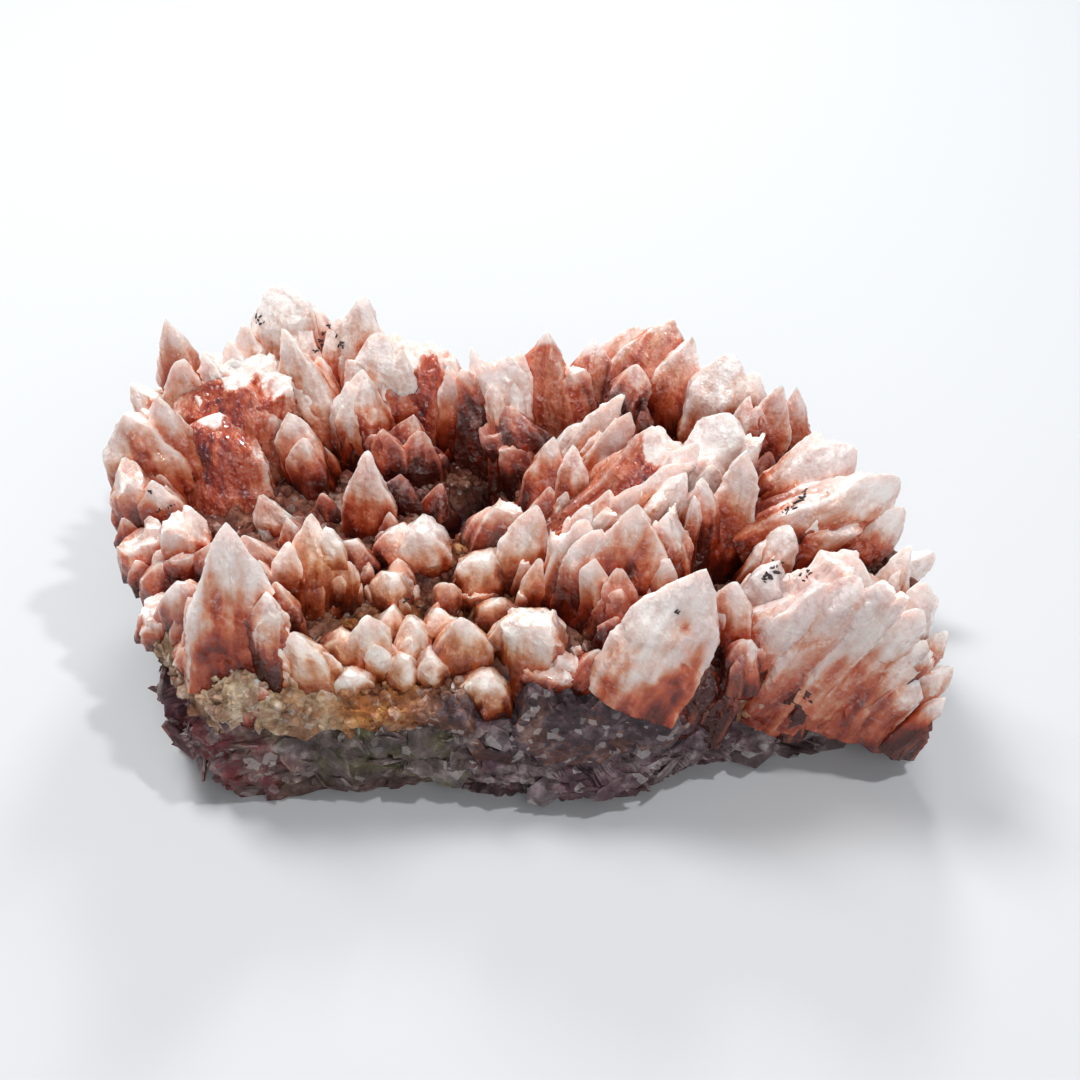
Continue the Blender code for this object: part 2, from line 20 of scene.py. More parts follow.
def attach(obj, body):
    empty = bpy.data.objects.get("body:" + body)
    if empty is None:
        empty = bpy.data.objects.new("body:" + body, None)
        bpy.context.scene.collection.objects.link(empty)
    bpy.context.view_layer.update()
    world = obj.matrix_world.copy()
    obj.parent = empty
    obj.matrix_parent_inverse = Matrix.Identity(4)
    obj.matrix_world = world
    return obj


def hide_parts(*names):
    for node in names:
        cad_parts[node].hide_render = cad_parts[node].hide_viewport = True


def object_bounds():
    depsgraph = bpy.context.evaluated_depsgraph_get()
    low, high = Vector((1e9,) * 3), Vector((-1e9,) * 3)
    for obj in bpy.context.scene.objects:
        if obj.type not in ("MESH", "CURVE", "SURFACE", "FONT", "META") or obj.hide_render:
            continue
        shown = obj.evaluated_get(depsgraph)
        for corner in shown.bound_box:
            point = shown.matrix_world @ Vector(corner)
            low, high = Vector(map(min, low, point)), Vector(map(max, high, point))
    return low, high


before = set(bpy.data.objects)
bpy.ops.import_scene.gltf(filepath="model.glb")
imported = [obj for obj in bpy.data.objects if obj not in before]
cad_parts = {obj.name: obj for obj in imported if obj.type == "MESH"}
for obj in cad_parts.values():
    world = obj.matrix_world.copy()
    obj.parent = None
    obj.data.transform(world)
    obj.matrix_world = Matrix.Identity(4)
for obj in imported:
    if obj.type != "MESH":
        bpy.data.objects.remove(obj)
CAD_LOW, CAD_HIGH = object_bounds()
LOG = logging.getLogger("calcite")

# Driving dimensions, in millimetres, shared with the solids
MM = 0.001
MATRIX_HEIGHT_LEFT = 17.0
MATRIX_HEIGHT_RIGHT = 9.0
HALF_LENGTH = 58.0
HALF_WIDTH = 33.0
CUT_INSET = 2.0
CRUST_LEVEL = 22.0
CRUST_RISE = 0.13
CRUST_EDGE_DROP = 4.0
ROOT_DEPTH = 5.0
LOWEST_CRYSTAL = 0.6
CROWDING = 1.28
BOX_MARGIN = 0.05
FAR = 1e9

# The pocket of low, rounded crystals near the front: centre, reach and depth
POCKET_X = -15.0
POCKET_Y = -25.0
POCKET_REACH = 13.0
POCKET_DEPTH = 5.0

# Places that stay open: the dark slit in the centre, and the foot of the wide broken crystal
OPEN_PLACES = ((-9.5, -1.5), (-6.5, 0.0), (-45, 1), (-40, 1), (-36, 0))

# The back bank, which falls away behind the crown of tips
BACK_FALL = 0.95
BACK_DROP = 2.0
BED_UNDER_SKYLINE = 9.0
BACK_ROWS = ((2.0, 50.0, 11.0), (8.0, 34.0, 14.0), (13.5, 16.0, 17.0))
BACK_START = 0.56
BACK_END = 0.94
BACK_COUNT = 20
BACK_WIDTH = 8.0
FILL_STEP = 6.5
FILL_WIDTH = 8.0
FILL_CLEARANCE = 6.0
FILL_TOP = 38.0
FILL_SEED = 29
BETWEEN_COMPANY = 0.45

# Plan of the matrix at its widest, walked anticlockwise from the front left corner
OUTLINE = np.array((
    (-50, -24), (-46, -29), (-41, -34), (-28, -33), (-14, -33), (-2, -35), (9, -35), (18, -33),
    (24, -29), (36, -26), (48, -24), (53, -17), (55, -6), (51, 4), (43, 12), (33, 19),
    (14, 25), (-8, 28), (-26, 31), (-42, 29), (-52, 22), (-54, 8), (-52, -10),
), float)
PLAN_STEPS = 44
CENTRE = np.array((0.0, -2.0))
CENTRING = np.array((-0.30, 0.23, 0.0))
CROWN = np.array((
    (-58, 16, 44), (-50, 17, 45), (-36, 20, 49), (-24, 18, 49), (-12, 13, 43), (1, 13, 45),
    (14, 16, 44), (22, 16, 45), (32, 9, 42), (39, -3, 40), (50, -11, 37), (58, -16, 34),
), float)


class End(Enum):
    """How a crystal ends at its tip."""

    POINT = "point"
    BLUNT = "blunt"
    STUMP = "stump"


POINT, BLUNT, STUMP = End.POINT, End.BLUNT, End.STUMP


@dataclass(frozen=True)
class Tooth:
    """One crystal: tip and sizes in millimetres, leans to the right and back in degrees.

    tone runs from 0, white to the root, to 1, brick red throughout. core is how much of its
    front is a broken, crimson heart, company how many side crystals it has, rimmed whether the
    broken heart keeps a white rim at the top, and blush_and_shade how much it reddens towards its
    root and how dark its crevices are painted as shade.
    """

    tip: tuple[float, float, float]
    lean: tuple[float, float]
    width: float
    depth: float
    taper: float
    turn: float
    end: End = POINT
    length: float = 0.0
    tone: float = 0.35
    core: float = 0.0
    company: float = 1.0
    rimmed: bool = True
    blush_and_shade: float = 1.0


# Tips along the far left and the back left crown
BACK_LEFT = (
    Tooth((-52, 18, 45), (-8, 8), 7, 6, 11, 10, tone=0.4),
    Tooth((-49, 11, 43), (0, 4), 8, 6, 9, 20, tone=0.3),
    Tooth((-55, 3, 39), (-7, -2), 12, 9, 8, 30, BLUNT, tone=0.42),
    Tooth((-51, 4, 41), (-9, 2), 6, 5, 6, 10, tone=0.35),
    Tooth((-35, 12, 47), (-20, 6), 8, 6, 12, 15, tone=0.2),
    Tooth((-41, 17, 45), (-4, 10), 6, 5, 5, 20, tone=0.25),
    Tooth((-43, 14, 44), (-13, 10), 5, 4, 5, 5, tone=0.3),
    Tooth((-46, 12, 43), (-17, 8), 5, 4, 4, 25, tone=0.3),
    Tooth((-36, 20, 49), (-7, 10), 10, 8, 5, 30, BLUNT, tone=0.25),
    Tooth((-33, 19, 47), (-1, 6), 6, 5, 6, 25, tone=0.35),
    Tooth((-31, 19, 46), (-23, 12), 4, 4, 4, 10, tone=0.6),
    Tooth((-24, 18, 49), (5, 8), 8, 7, 7, 20, BLUNT, tone=0.15),
    Tooth((-30, 13, 42), (-10, 4), 5, 4, 6, 0, tone=0.25),
    Tooth((-21, 13, 46), (-2, 8), 8, 6, 7, 10, tone=0.15),
)

# The wide broken crystal of the back left, with the crystals along its right side
BROKEN_LEFT = (
    Tooth((-38, 10, 42), (8, 0), 17, 9, 6, 30, STUMP, tone=0.45, core=1.0, company=0.35, blush_and_shade=0.7),
    Tooth((-45, 8, 38), (6, -2), 6, 5, 5, 0, STUMP, tone=0.3, company=0.4),
    Tooth((-41.5, 9, 40.5), (5, -1), 18, 8.4, 5, 20, BLUNT, tone=0.45, core=0.85, company=0.0, blush_and_shade=0.6),
    Tooth((-42.5, 6, 36.5), (5, 15), 14, 7, 4, 20, BLUNT, tone=0.45, core=0.8, company=0.0, blush_and_shade=0.6),
    Tooth((-37, -5, 31), (-3, -4), 5, 4, 5, 30, tone=0.35),
    Tooth((-34, -9, 30), (-4, -4), 5, 4, 5, 0, tone=0.4),
    Tooth((-47, -8, 30), (2, -6), 6, 5, 4, 30, BLUNT, tone=0.45),
    Tooth((-33, 5, 38), (-8, 0), 7, 5, 7, 20, tone=0.35, company=0.6),
    Tooth((-31, 3, 35), (2, 0), 6, 5, 5, 15, tone=0.45, company=0.6),
    Tooth((-29, -2, 29), (-4, -4), 6, 5, 6, 15, tone=0.8),
)

# The middle of the back row
MIDDLE_BACK = (
    Tooth((-25, 8, 41), (1, 2), 5, 4, 5, 10, tone=0.15),
    Tooth((-23, 9, 42), (2, 3), 8, 6, 7, 0, tone=0.45),
    Tooth((-14, 13, 43), (11, 4), 11, 7, 4, 30, STUMP, tone=0.7, core=0.85, company=0.5),
    Tooth((-18, 12, 43), (6, 4), 6, 5, 5, 15, tone=0.5),
    Tooth((-11, 10, 43), (6, 0), 5, 4, 8, 10, tone=0.1),
    Tooth((-10, 9, 43), (-18, 2), 12, 8, 13, 30, tone=0.75),
    Tooth((-4, 6, 38), (-20, 2), 8, 6, 6, 20, tone=0.85),
    Tooth((-17, 6, 37), (4, -4), 7, 6, 8, 0, tone=0.85),
    Tooth((-20, 4, 36), (0, -2), 5, 4, 5, 20, tone=0.7),
    Tooth((-16, 5, 35), (4, -6), 7, 6, 6, 30, tone=0.9),
    Tooth((-18, 0, 31), (2, -4), 8, 6, 8, 20, tone=1.0, company=0.6),
    Tooth((-13, -1, 30), (3, -4), 6, 5, 7, 0, tone=0.95, company=0.5),
    Tooth((-22, 1, 31), (0, -2), 5, 4, 5, 20, tone=0.9),
    Tooth((-8, 11, 45), (-4, 8), 4, 4, 5, 20, tone=0.1),
    Tooth((-6, 9, 44), (-6, 10), 4, 3, 3, 0, tone=0.3),
    Tooth((-4, 10, 44), (-5, 8), 6, 5, 4, 30, BLUNT, tone=0.1),
    Tooth((1, 13, 46), (-6, 4), 10, 8, 9, 0, tone=0.6, core=0.5),
    Tooth((-2, 11, 44), (-5, 6), 4, 4, 5, 20, tone=0.2),
    Tooth((6, 11, 41), (-4, 4), 8, 6, 5, 20, STUMP, tone=0.8, core=0.6),
)

# Fangs and slabs around the dark slit in the centre
CENTRE_BANK = (
    Tooth((-22, -4, 38), (1, -2), 8, 7, 11, 20, tone=0.25, company=0.4),
    Tooth((-19, -8, 30), (-2, 0), 4, 4, 5, 10, tone=0.6),
    Tooth((2, -3, 39), (1, 2), 7, 6, 7, 10, tone=0.5),
    Tooth((5, -5, 39), (-2, 3), 5, 4, 5, 25, tone=0.3),
    Tooth((-2, -9, 33), (16, -4), 8, 6, 5, 30, STUMP, tone=0.95, company=0.5),
    Tooth((0, -14, 36), (6, 0), 7, 5, 7, 0, tone=0.2),
    Tooth((7, -19, 38), (10, 0), 7, 5, 7, 20, tone=0.25),
    Tooth((7, -16, 38), (7, 2), 4, 3, 4, 0, tone=0.2),
    Tooth((1, -19, 31), (6, 0), 4, 4, 5, 15, tone=0.3),
)

# The back right crown and the blades that lie in front of it
BACK_RIGHT = (
    Tooth((21, 17, 45), (18, 14), 14, 9, 7, 30, BLUNT, tone=0.85, core=0.5, company=0.5),
    Tooth((8, 14, 43), (0, 12), 9, 6, 4, 30, BLUNT, tone=0.75, core=0.5),
    Tooth((15, 16, 44), (7, 12), 9, 6, 4, 10, BLUNT, tone=0.7, core=0.4),
    Tooth((22, 13, 45), (7, 4), 9, 7, 9, 20, tone=0.45),
    Tooth((28, 10, 44), (9, 6), 10, 8, 5, 30, BLUNT, tone=0.2),
    Tooth((32, 9, 42), (8, 6), 6, 5, 5, 10, tone=0.2),
    Tooth((15, 10, 42), (7, 6), 6, 5, 4, 30, tone=0.85),
    Tooth((13, 3, 42), (29, 2), 6, 4, 7, 10, tone=0.1),
    Tooth((14, -1, 42), (26, 0), 5, 4, 5, 25, tone=0.15),
    Tooth((18, -7, 42), (37, 0), 8, 6, 3, 30, STUMP, tone=0.6, core=0.8),
    Tooth((21, -11, 41), (50, 0), 4, 3, 4, 10, length=22, tone=0.3),
    Tooth((26, -6, 45), (18, 2), 9, 7, 3, 25, BLUNT, tone=0.12),
    Tooth((22, -9, 43), (29, 0), 5, 4, 4, 0, tone=0.15),
    Tooth((20, -13, 41), (30, 0), 5, 4, 4, 20, tone=0.2),
    Tooth((28, -12, 44), (8, 0), 9, 6, 13, 30, tone=0.25, company=0.6),
    Tooth((22, -14, 41), (0, 0), 6, 4, 6, 10, tone=0.4),
)

# The long rounded blades that fan out to the right
RIGHT = (
    Tooth((35, 4, 43), (10, 4), 7, 6, 8, 15, tone=0.5),
    Tooth((37, 5, 42), (-7, 4), 5, 4, 9, 0, tone=0.45),
    Tooth((39, -6, 38), (11, 6), 3, 3, 3, 0, tone=0.2),
    Tooth((36, -6, 38), (14, 0), 4, 4, 4, 20, tone=0.2),
    Tooth((31, 4, 41), (9, 2), 6, 5, 5, 10, tone=0.35),
    Tooth((50, -11, 38), (62, 6), 9, 7, 4, 30, BLUNT, 24, tone=0.3),
    Tooth((44, -6, 40), (45, 8), 8, 6, 4, 10, BLUNT, 24, tone=0.22),
    Tooth((51, -12, 34), (44, 2), 6, 5, 3, 20, BLUNT, tone=0.35),
    Tooth((47, -13, 36), (46, -2), 6, 4, 6, 10, length=24, tone=0.4),
    Tooth((40, -13, 37), (36, 0), 6, 4, 4, 30, tone=0.2),
    Tooth((35, -17, 35), (21, -2), 6, 5, 3, 30, BLUNT, tone=0.4),
    Tooth((33, -22, 33), (16, -2), 6, 5, 3, 20, BLUNT, tone=0.1),
    Tooth((51, -17, 32), (25, 6), 4, 3, 4, 0, tone=0.2),
    Tooth((54, -27, 26), (28, 2), 4, 3, 4, 0, tone=0.4),
    Tooth((56, -28, 15), (40, 0), 4, 4, 3, 0, length=12, tone=0.15, company=0.4),
    Tooth((56, -27, 20), (36, 0), 6, 5, 4, 30, length=16, tone=0.2, company=0.4),
    Tooth((53, -27, 13), (26, -4), 8, 7, 4, 30, POINT, 9, tone=0.35, company=0.6),
)

# The two largest crystals of the front right, and the small ones at their feet
FRONT_RIGHT = (
    Tooth((44, -24, 35), (17, -6), 20, 8, 7, 30, STUMP, 31, tone=0.55, company=0.3, blush_and_shade=0.4),
    Tooth((34, -26, 31), (27, -5), 6, 5, 4, 10, length=18, tone=0.5, company=0.5, blush_and_shade=0.5),
    Tooth((38, -27, 34), (27, -5), 6, 5, 5, 30, length=24, tone=0.35, company=0.5, blush_and_shade=0.5),
    Tooth((42.5, -27.5, 35.5), (26, -5), 7, 5, 5, 20, BLUNT, 30, tone=0.4, company=0.6, blush_and_shade=0.45),
    Tooth((47, -28, 35), (25, -5), 6, 5, 5, 0, STUMP, 30, tone=0.3, company=0.6, blush_and_shade=0.45),
    Tooth((50, -28, 31), (24, -5), 6, 5, 4, 30, length=26, tone=0.42, company=0.5, blush_and_shade=0.45),
    Tooth((51, -28.5, 25), (24, -5), 6, 5, 4, 10, BLUNT, 20, tone=0.4, company=0.5, blush_and_shade=0.45),
    Tooth((51, -29, 19), (24, -5), 6, 5, 3, 40, length=14, tone=0.45, company=0.5, blush_and_shade=0.5),
    Tooth((43, -23, 36), (22, -2), 10, 7, 6, 20, length=30, tone=0.3, blush_and_shade=0.5),
    Tooth((51, -25, 33), (4, -4), 4, 4, 3, 0, length=28, tone=0.05, blush_and_shade=0.2, company=0.4),
    Tooth((36, -24, 33), (20, -2), 9, 6, 6, 10, STUMP, 28, tone=0.4, company=0.5, blush_and_shade=0.7),
    Tooth((35, -26, 27), (14, -6), 9, 6, 4, 30, STUMP, 24, tone=0.65, blush_and_shade=0.8),
    Tooth((23, -28, 37), (25, 4), 12, 8, 10, 5, length=23, tone=0.22, company=0.25, blush_and_shade=0.8),
    Tooth((27, -26, 33), (3, 0), 5, 4, 4, 10, tone=0.35),
    Tooth((28, -29, 26), (4, -4), 5, 4, 2, 30, BLUNT, tone=0.5),
    Tooth((22, -29, 22), (12, -6), 7, 6, 4, 30, length=14, tone=0.6),
    Tooth((25, -29, 18), (6, -8), 5, 4, 2, 0, length=12, tone=0.6),
    Tooth((31, -26, 16), (-6, -10), 6, 5, 3, 30, STUMP, 12, tone=0.6),
    Tooth((37, -27, 17), (6, -10), 6, 5, 3, 0, STUMP, 12, tone=0.7),
)

# The bladed crystals of the middle front
MIDDLE_FRONT = (
    Tooth((14, -20, 41), (7, 2), 12, 7, 10, 30, tone=0.5),
    Tooth((9, -21, 38), (9, -2), 8, 6, 7, 20, tone=0.45),
    Tooth((12, -25, 31), (12, -4), 7, 5, 6, 0, tone=0.55),
    Tooth((14, -15, 41), (32, 2), 5, 4, 5, 10, tone=0.35),
    Tooth((10, -15, 40), (14, 2), 5, 4, 4, 20, tone=0.5),
    Tooth((18, -18, 38), (-6, 2), 5, 4, 2, 30, BLUNT, tone=0.4),
    Tooth((16, -18, 37), (-7, 2), 3, 3, 3, 0, tone=0.3),
    Tooth((18, -22, 34), (6, -2), 5, 4, 4, 25, tone=0.2),
    Tooth((0, -27, 29), (3, -6), 9, 8, 3, 10, STUMP, tone=0.22, company=0.5),
    Tooth((2, -28, 22), (0, -10), 7, 6, 2, 10, BLUNT, tone=0.5),
    Tooth((6, -28, 21), (-12, -8), 6, 4, 6, 15, tone=0.15),
    Tooth((3, -30, 23), (14, -14), 9, 6, 5, 20, STUMP, tone=0.4, company=0.6),
    Tooth((9, -29, 24), (22, -8), 8, 6, 6, 40, tone=0.35, company=0.6),
    Tooth((8, -32, 18), (-8, -14), 6, 5, 4, 10, tone=0.2, company=0.6),
    Tooth((14, -31, 20), (18, -12), 7, 5, 4, 30, STUMP, tone=0.55, company=0.6),
)

# The tall fang of the front left and what stands around it
FRONT_LEFT = (
    Tooth((-38, -24, 42), (3, 9), 13, 8, 14, 30, tone=0.15, company=0.5),
    Tooth((-34, -28, 34), (2, 4), 6, 5, 4, 10, tone=0.5),
    Tooth((-52, -5, 33), (-4, -6), 6, 5, 4, 30, tone=0.55),
    Tooth((-47, -13, 34), (-3, -6), 8, 6, 5, 30, STUMP, tone=0.45),
    Tooth((-50, -14, 26), (-4, -8), 7, 6, 3, 30, BLUNT, tone=0.55),
    Tooth((-39, -13, 30), (-13, -4), 6, 5, 4, 20, tone=0.4),
    Tooth((-35, -6, 28), (-9, -4), 6, 5, 6, 0, tone=0.5),
    Tooth((-36, -19, 31), (-5, -2), 4, 3, 3, 10, tone=0.4),
    Tooth((-29, -16, 36), (3, 6), 7, 6, 8, 10, tone=0.42),
    Tooth((-33, -23, 31), (-3, 0), 5, 4, 4, 20, tone=0.6),
    Tooth((-27, -17, 34.5), (0, 0), 3.8, 3.6, 2.5, 20, BLUNT, tone=0.0, length=6, company=0.0),
    Tooth((-31, -29, 27), (-11, -4), 7, 6, 5, 20, BLUNT, tone=0.2),
    Tooth((-33, -30, 26), (-9, -4), 3, 3, 3, 0, tone=0.3),
    Tooth((-25, -18, 30), (4, -6), 4, 3, 3, 0, tone=0.5),
    Tooth((-46, -22, 30), (-8, -8), 7, 6, 4, 15, BLUNT, tone=0.55),
    Tooth((-56, -3, 33), (-8, -6), 7, 7, 4, 0, STUMP, tone=0.6),
    Tooth((-54, -9, 28), (-9, -8), 8, 7, 4, 20, STUMP, tone=0.6),
    Tooth((-49, -20, 24), (-8, -10), 8, 7, 3, 40, STUMP, tone=0.5),
    Tooth((-42, -15, 31), (-4, -4), 8, 6, 4, 10, tone=0.55),
    Tooth((-44, -27, 24), (-6, -10), 7, 6, 3, 50, BLUNT, tone=0.45),
)

# The low, rounded crystals of the pocket
POCKET = (
    Tooth((-14, -13, 31), (4, -25), 8, 8, 4, 30, BLUNT, tone=0.30),
    Tooth((-6, -16, 29), (3, -20), 8, 8, 4, 0, BLUNT, tone=0.35),
    Tooth((-19, -17, 27), (-3, -10), 6, 6, 3, 10, BLUNT, tone=0.35),
    Tooth((-22, -26, 28), (-2, -4), 6, 5, 4, 20, tone=0.30),
    Tooth((-16, -26, 26), (-2, -12), 6, 6, 3, 30, BLUNT, tone=0.35),
    Tooth((-9, -26, 27), (2, -6), 8, 7, 7, 30, tone=0.30),
    Tooth((-17, -28, 22), (2, -16), 6, 6, 3, 0, BLUNT, tone=0.30),
    Tooth((-13, -28, 22), (4, -14), 5, 5, 2, 30, BLUNT, tone=0.35),
    Tooth((-11, -18, 26), (1, -6), 4, 4, 2, 0, tone=0.60),
    Tooth((-24, -13, 29), (-2, -10), 7, 6, 4, 40, BLUNT, tone=0.65),
    Tooth((-18, -11, 29), (0, -12), 6, 6, 3, 15, BLUNT, tone=0.60),
    Tooth((-26, -25, 24), (-4, -12), 6, 6, 3, 20, BLUNT, tone=0.40),
    Tooth((-24, -30, 21), (0, -20), 7, 5, 3, 40, BLUNT, tone=0.40),
    Tooth((-6, -30, 20), (6, -16), 8, 6, 3, 20, BLUNT, tone=0.35),
    Tooth((-19, -22, 25), (2, -10), 5, 5, 3, 20, BLUNT, tone=0.40),
    Tooth((-12, -22, 24), (2, -10), 5, 5, 3, 50, BLUNT, tone=0.40),
    Tooth((-4, -21, 25), (4, -14), 6, 5, 3, 10, BLUNT, tone=0.45),
    Tooth((-37, -31, 21), (-6, -16), 8, 6, 3, 10, BLUNT, tone=0.40),
)

NAMED_BANKS = {
    "back_left_teeth": BACK_LEFT,
    "broken_left_teeth": BROKEN_LEFT,
    "middle_back_teeth": MIDDLE_BACK,
    "centre_teeth": CENTRE_BANK,
    "back_right_teeth": BACK_RIGHT,
    "right_blades": RIGHT,
    "front_right_teeth": FRONT_RIGHT,
    "middle_front_teeth": MIDDLE_FRONT,
    "front_left_teeth": FRONT_LEFT,
    "pocket_teeth": POCKET,
}


# Noise on arrays of points

NOISE_TABLE = np.random.default_rng(5).uniform(-1.0, 1.0, 65536)
CELL_TABLE = np.random.default_rng(6).uniform(0.0, 1.0, (65536, 7))
CORNERS = np.array([(i, j, k) for i in (0, 1) for j in (0, 1) for k in (0, 1)])
NEIGHBOURS = np.array([(i, j, k) for i in (-1, 0, 1) for j in (-1, 0, 1) for k in (-1, 0, 1)])


def lattice_key(cell: np.ndarray, seed: int) -> np.ndarray:
    """Number between 0 and 65535 for each whole-numbered cell.

    Args:
        cell: Whole coordinates, with a last axis of three.
        seed: Changes the whole pattern.

    Returns:
        One key for each cell.
    """
    mixed = cell[..., 0] * 73856093 ^ cell[..., 1] * 19349663 ^ cell[..., 2] * 83492791
    return (mixed ^ (seed * 2654435 + (mixed >> 7))) & 65535


def value_noise(points: np.ndarray, seed: int = 0) -> np.ndarray:
    """Smooth noise from -1 to 1: random values on a unit lattice, blended with cubic weights.

    Args:
        points: Places with a last axis of three, in lattice units.
        seed: Changes the whole pattern.

    Returns:
        One value for each point.
    """
    base = np.floor(points).astype(np.int64)
    part = points - base
    part = part * part * (3.0 - 2.0 * part)
    total = np.zeros(points.shape[:-1])
    for corner in CORNERS:
        weight = np.prod(np.where(corner == 1, part, 1.0 - part), axis=-1)
        total += weight * NOISE_TABLE[lattice_key(base + corner, seed)]
    return total


def layered_noise(points: np.ndarray, layers: int, seed: int = 0) -> np.ndarray:
    """Sum of value noise at doubling frequencies and halving heights.

    Args:
        points: Places with a last axis of three, in lattice units.
        layers: How many frequencies are summed.
        seed: Changes the whole pattern.

    Returns:
        One value for each point, mostly between -1 and 1.
    """
    total = np.zeros(points.shape[:-1])
    for layer in range(layers):
        total += value_noise(points * 2.0 ** layer + 17.0 * layer, seed + layer) * 0.5 ** layer
    return total


def fracture(points: np.ndarray, tilt: float, seed: int = 0) -> np.ndarray:
    """Height of a broken surface: each random cell is a plane of its own height and tilt.

    Args:
        points: Places with a last axis of three, in cell units.
        tilt: Largest slope of a plane.
        seed: Changes the whole pattern.

    Returns:
        One height for each point, roughly between -1 and 1.
    """
    base = np.floor(points).astype(np.int64)
    best = np.full(points.shape[:-1], FAR)
    height = np.zeros(points.shape[:-1])
    for step in NEIGHBOURS:
        cell = base + step
        draws = CELL_TABLE[lattice_key(cell, seed)]
        away = points - (cell + draws[..., :3])
        distance = np.sum(away * away, axis=-1)
        plane = draws[..., 3] * 2.0 - 1.0
        plane += np.sum(away * (draws[..., 4:7] - 0.5), axis=-1) * 2.0 * tilt
        nearer = distance < best
        best = np.where(nearer, distance, best)
        height = np.where(nearer, plane, height)
    return height


def smooth_step(low: float, high: float, value: np.ndarray) -> np.ndarray:
    """Eased ramp from 0 at low to 1 at high."""
    share = np.clip((value - low) / (high - low), 0.0, 1.0)
    return share * share * (3.0 - 2.0 * share)


# Levels of the bed and the skyline

def matrix_level(x: np.ndarray, y: np.ndarray) -> np.ndarray:
    """Height of the matrix, thicker at the left than at the right, in millimetres."""
    share = (x + HALF_LENGTH) / (2 * HALF_LENGTH)
    swell = 0.8 * value_noise(np.stack([x * 0.11, y * 0.11, x * 0.0 + 3.0], -1))
    return MATRIX_HEIGHT_LEFT + (MATRIX_HEIGHT_RIGHT - MATRIX_HEIGHT_LEFT) * share + swell


def skyline(x: np.ndarray, y: np.ndarray) -> np.ndarray:
    """Highest level that a hidden crystal may reach without showing over the crown."""
    crown_y = np.interp(x, CROWN[:, 0], CROWN[:, 1])
    crown_z = np.interp(x, CROWN[:, 0], CROWN[:, 2])
    return crown_z - BACK_DROP - BACK_FALL * np.maximum(0.0, y - crown_y)


def crust_level(x: np.ndarray, y: np.ndarray) -> np.ndarray:
    """Height of the crust, which dips in the pocket and falls towards the back."""
    away = np.hypot(x - POCKET_X, y - POCKET_Y) / POCKET_REACH
    dip = POCKET_DEPTH * np.exp(-away * away)
    bed = CRUST_LEVEL + CRUST_RISE * np.maximum(0.0, y - POCKET_Y) - dip
    return np.minimum(bed, skyline(x, y) - BED_UNDER_SKYLINE)


def outline_points(share: np.ndarray, inset: np.ndarray) -> np.ndarray:
    """Points of the plan at shares of the way around, pulled in towards the centre.

    Args:
        share: Share of the way around the plan, which wraps at 1.
        inset: How far each point is pulled in, in millimetres.

    Returns:
        Points in the plan, with a last axis of two.
    """
    place = np.mod(share, 1.0) * len(OUTLINE)
    index = place.astype(int)
    part = (place - index)[..., None]
    point = OUTLINE[index] * (1 - part) + OUTLINE[(index + 1) % len(OUTLINE)] * part
    arm = point - CENTRE
    reach = np.linalg.norm(arm, axis=-1, keepdims=True)
    return CENTRE + arm * (reach - np.asarray(inset)[..., None]) / reach


def inside_outline(x: float, y: float, inset: float) -> bool:
    """Whether a place lies within the plan pulled in by inset."""
    steps = PLAN_STEPS
    ring = outline_points(np.linspace(0, 1, steps, endpoint=False), np.full(steps, inset))
    (x0, y0), (x1, y1) = ring.T, np.roll(ring, -1, axis=0).T
    spans = (y0 > y) != (y1 > y)
    slope = np.divide((y - y0) * (x1 - x0), y1 - y0, out=np.full(steps, FAR), where=spans)
    return bool(np.count_nonzero(spans & (x < x0 + slope)) % 2)


# Meshes from arrays

def mesh_object(name: str, points: np.ndarray, faces: list | np.ndarray) -> bpy.types.Object:
    """Object at the origin from points in millimetres of the plan.

    Args:
        name: Name of the object and its mesh.
        points: One row of three for each point.
        faces: Rows of point numbers, all of one length.

    Returns:
        The new object, not linked to the scene.
    """
    mesh = bpy.data.meshes.new(name)
    mesh.from_pydata((points + CENTRING) * MM, [], np.asarray(faces).tolist())
    mesh.update()
    return bpy.data.objects.new(name, mesh)


def set_attribute(mesh: bpy.types.Mesh, name: str, values: np.ndarray) -> None:
    """Store one vector or one colour for each point of a mesh, on the corners of its faces."""
    corners = np.empty(len(mesh.loops), np.int32)
    mesh.loops.foreach_get("vertex_index", corners)
    values = values[corners].astype(np.float32).ravel()
    if len(values) == 3 * len(corners):
        mesh.attributes.new(name, "FLOAT_VECTOR", "CORNER").data.foreach_set("vector", values)
    else:
        mesh.attributes.new(name, "FLOAT_COLOR", "CORNER").data.foreach_set("color", values)


def tube_faces(rows: int, columns: int) -> np.ndarray:
    """Triangles of a closed tube of rows by columns, with a pole before and after it.

    The first pole is point rows * columns and the last is the one after. Row 0 is next to the
    first pole, and the columns run anticlockwise seen from there.
    """
    row, column = np.meshgrid(np.arange(rows - 1), np.arange(columns), indexing="ij")
    after = (column + 1) % columns
    a, b = row * columns + column, row * columns + after
    c, d = a + columns, b + columns
    sides = np.stack([a, c, d, a, d, b], -1).reshape(-1, 3)
    ring = np.arange(columns)
    turn = (ring + 1) % columns
    first = np.stack([np.full(columns, rows * columns), ring, turn], -1)
    low = (rows - 1) * columns
    last = np.stack([np.full(columns, rows * columns + 1), low + turn, low + ring], -1)
    return np.vstack([sides, first, last])


def link(item: bpy.types.Object) -> bpy.types.Object:
    """Link an object to the scene and give it back."""
    bpy.context.scene.collection.objects.link(item)
    return item


def normals_of(item: bpy.types.Object) -> np.ndarray:
    """Way that each point of a mesh faces."""
    normals = np.empty(len(item.data.vertices) * 3, np.float32)
    item.data.vertices.foreach_get("normal", normals)
    return normals.reshape(-1, 3).astype(float)


def shade(item: bpy.types.Object, degrees: float) -> None:
    """Smooth shading with sharp edges where faces meet at more than an angle."""
    item.data.shade_smooth()
    item.data.set_sharp_from_angle(angle=math.radians(degrees))


